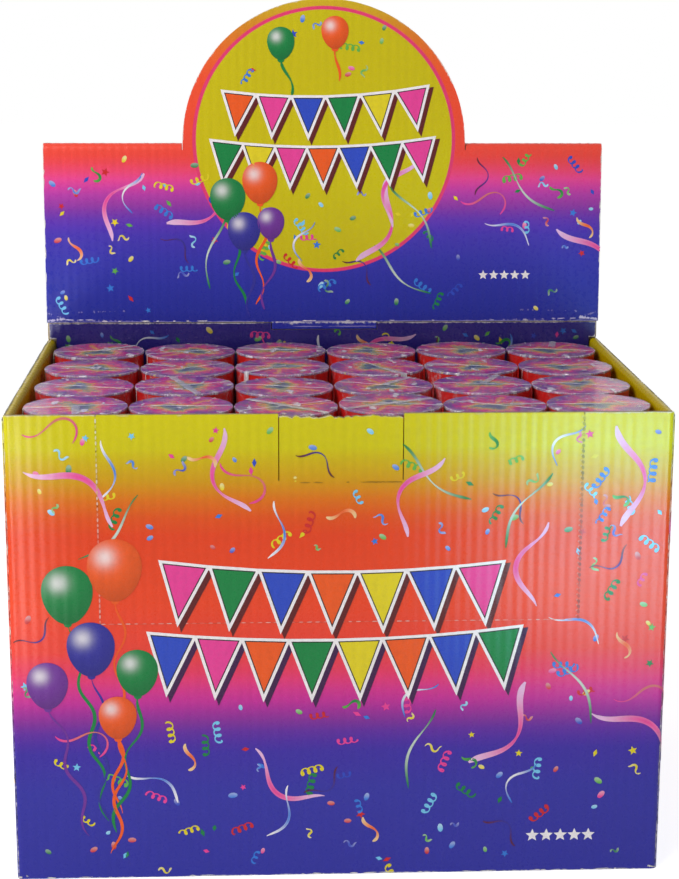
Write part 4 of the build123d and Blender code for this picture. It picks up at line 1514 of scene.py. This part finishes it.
# Load of the sample popper: rolled streamers and loose confetti
rolls_low, rolls_high = node_box("streamer_rolls")
sample_centre = (rolls_low + rolls_high)[:2] / 2
roll_gap = 0.2
roll_pitch = 2 * (bore - roll_gap) / 3
roll_radius = (roll_pitch - roll_gap) / 2
roll_turns = 8
paper_thick = 0.14
strip_corners = np.array([(paper_thick, 0), (paper_thick, 1), (0, 1), (0, 0), (paper_thick, 0)])
rolls = Shell()
for index, colour in enumerate([yellow, pink, green, blue, orange, teal, purple]):
    spin = (index - 1) * turn / 6
    middle = sample_centre + (roll_pitch * heading_of(spin) if index else 0)
    wind = np.linspace(0, roll_turns * turn, roll_turns * 22)[:, None]
    reach = np.linspace(1.0, roll_radius - 0.15, len(wind))[:, None] + strip_corners[:, 0]
    height = rolls_low[2] + strip_corners[:, 1] * (rolls_high - rolls_low)[2]
    rolls.grid(round_about(reach, wind + spin, height) + np.array([*middle, 0]), 0, colour)
rolls.piece("streamer_rolls_wound", "charge", "streamer_paper", [ink], ["streamer_rolls"])

load_low, load_high = node_box("confetti_load")
flakes = 520
flake_halves = np.array([1.5, 1.1, 0.05])
load_spare, load_rise = 2.2, 1.6
load_reach = (load_high - load_low)[0] / 2 - load_spare
radius = load_reach * np.sqrt(chance.uniform(0, 1, flakes))
angle = chance.uniform(0, turn, flakes)
height = chance.uniform(load_low[2] + load_rise, load_high[2] - load_rise, flakes)
spots = round_about(radius, angle, height) + np.array([*sample_centre, 0])
axes = np.linalg.qr(chance.normal(size=(flakes, 3, 3)))[0]
axes[:, :, 0] *= np.sign(np.linalg.det(axes))[:, None]
box_corners = np.array([(x, y, z) for z in (-1, 1) for x, y in ((-1, -1), (1, -1), (1, 1), (-1, 1))])
box_faces = np.array([(3, 2, 1, 0), (4, 5, 6, 7), (0, 1, 5, 4), (1, 2, 6, 5), (2, 3, 7, 6), (3, 0, 4, 7)])
flake_points = spots[:, None] + (box_corners * flake_halves) @ axes.transpose(0, 2, 1)
flake_faces = box_faces[None] + 8 * np.arange(flakes)[:, None, None]
flake_inks = np.array([bit_inks[index % 8] for index in range(flakes)]).repeat(8, 0)
confetti = Shell()
confetti.add(flake_points.reshape(-1, 3), flake_faces.reshape(-1, 4), 0, flake_inks)
confetti.piece("confetti_flakes", "charge", "confetti_paper", [ink], ["confetti_load"])

# Inner pieces of the sample popper keep their CAD shape
chipboard = wound_board("wound_tube")
moulded_white = moulded("moulded_white", paint(222, 220, 212), 0.4)
moulded_blue = moulded("moulded_blue", paint(60, 92, 150), 0.38)
node_finishes = {
    "barrel_tube": chipboard, "grip_tube": chipboard,
    "wad_disc": plain_liner("wad_felt", paint(150, 142, 130), 0.9),
    "coupler_sleeve": moulded_white, "cylinder_cradle": moulded_white, "cam_collar": moulded_blue,
    "air_cylinder": metal("drawn_metal", paint(200, 200, 204), 0.22, (1.0, 1.0, 0.05)),
    "valve_body": metal("turned_brass", paint(196, 160, 90), 0.25, (0.2, 0.2, 3.0)),
    "valve_pin": metal("pin_steel", paint(190, 192, 196), 0.2, (0.2, 0.2, 3.0)),
    "valve_seal": moulded("seal_rubber", paint(34, 34, 36), 0.6),
}
for name, finish in node_finishes.items():
    slots = frame["nodes"][name].data.materials
    if len(slots) == 0:
        slots.append(finish)
    for index in range(len(slots)):
        slots[index] = finish

# Studio: pale floor, white surround and soft lamps
floor_half, floor_level = 4000.0, -0.2
floor_glow, soft_light, backdrop_light = 0.75, 0.3, 1.0
plain_white = (1, 1, 1, 1)
floor_scale = np.array([floor_half, floor_half, floor_level])
floor_corners = floor_scale * np.array([(-1, -1, 1), (1, -1, 1), (1, 1, 1), (-1, 1, 1)])
floor_mesh = bpy.data.meshes.new("floor")
floor_mesh.from_pydata((floor_corners * metre).tolist(), [], [(0, 1, 2, 3)])
floor = bpy.data.objects.new("floor", floor_mesh)
bpy.context.scene.collection.objects.link(floor)


def seen(wire):
    """1 for the rays that see the surround: from the camera, off gloss and through clear film."""
    camera, glossy, through = [wire.node("LightPath", out=index) for index in (0, 3, 6)]
    return camera.math("MAXIMUM", glossy.math("MAXIMUM", through))


floor_finish, wire, whole = new_finish("pale_floor")
cloud = whole.noise(3.0, 2.0).ramp([(0.0, (0.84, 0.84, 0.84, 1)), (1.0, (0.88, 0.88, 0.88, 1))])
matt = wire.node("BsdfDiffuse", inputs={"Color": cloud})
glow = wire.node("Emission", inputs={"Color": plain_white, "Strength": floor_glow})
dark = wire.node("Emission", inputs={"Strength": 0.0})
lift = wire.node("MixShader", inputs={0: seen(wire), 1: dark, 2: glow})
wire.node("OutputMaterial", inputs={"Surface": wire.node("AddShader", inputs={0: matt, 1: lift})})
floor_mesh.materials.append(floor_finish)

world = bpy.data.worlds.new("surround")
bpy.context.scene.world = world
world.use_nodes = True
world.node_tree.nodes.clear()
wire = Wire(world.node_tree)
around = wire.node("Background", inputs={"Color": plain_white, "Strength": soft_light})
backdrop = wire.node("Background", inputs={"Color": plain_white, "Strength": backdrop_light})
surround = wire.node("MixShader", inputs={0: seen(wire), 1: around, 2: backdrop})
wire.node("OutputWorld", inputs={"Surface": surround})


def pose(made, right, up, back, place):
    """Links an object into the scene, turned to three axes and set at a place in millimetres."""
    bpy.context.scene.collection.objects.link(made)
    axes = np.eye(4)
    axes[:3] = np.stack([right, up, back, np.array(place) * metre], 1)
    made.matrix_world = Matrix(axes.tolist())


def lamp(name, place, aim, size, power, beam=180.0, veil=None, tone=(1.0, 1.0, 1.0)):
    """Square soft lamp at a place, turned to face an aim, in millimetres.

    A veil is the share of the lamp's width and height over which it dims to its left and to its foot.
    """
    light = bpy.data.lights.new(name, "AREA")
    light.shape = "RECTANGLE"
    light.size, light.size_y = size[0] * metre, size[1] * metre
    light.energy = power
    light.color = tone
    light.spread = np.radians(beam)
    if veil:
        light.use_nodes = True
        light.node_tree.nodes.clear()
        wire = Wire(light.node_tree)
        across, up, _ = wire.node("NewGeometry", out=5).axes()
        shine = wire.node("Emission", inputs={"Strength": across.step(0.0, veil[0]) * up.step(0.0, veil[1])})
        wire.node("OutputLight", inputs={"Surface": shine})
    made = bpy.data.objects.new(name, light)
    made.visible_camera = False
    away = np.subtract(place, aim)
    back = away / np.linalg.norm(away)
    right = np.cross((0, 0, 1), back)
    right /= np.linalg.norm(right)
    pose(made, right, np.cross(back, right), back, place)


cool_glare = (0.38, 0.84, 1.04)
lamp("left_key", (-560, -700, 600), (0, -40, 120), (520, 520), 4.2)
lamp("right_fill", (520, -700, 400), (0, -40, 100), (520, 520), 0.6)
lamp("top", (-300, -200, 560), (0, 0, 170), (300, 300), 1.08)
lamp("right_glare", (92, -185, 72), (40, 15, 128), (115, 121), 0.023, 24.0, (0.7, 0.57), cool_glare)
lamp("left_glare", (-152, -260, 66), (-100, 64, 142), (40, 90), 0.004, 16.0)

# Camera at the photographed place
focal_pixels = 1924.0
frame_height = 879
eye = (-28.2, -652.1, 276.8)
pitch_down, yaw, roll = 0.2217, 0.0475, 0.0038
level_ahead = np.array([np.sin(yaw), np.cos(yaw), 0])
level_right = np.array([np.cos(yaw), -np.sin(yaw), 0])
ahead = np.cos(pitch_down) * level_ahead - np.sin(pitch_down) * np.array([0, 0, 1])
level_up = np.cross(level_right, ahead)
camera_right = np.cos(roll) * level_right + np.sin(roll) * level_up
camera_up = np.cross(camera_right, ahead)
view = bpy.data.cameras.new("view")
view.sensor_width = 36.0
view.lens = focal_pixels * view.sensor_width / frame_height
camera = bpy.data.objects.new("view", view)
pose(camera, camera_right, camera_up, -ahead, eye)
bpy.context.scene.camera = camera
bpy.context.scene.view_settings.view_transform = "Standard"
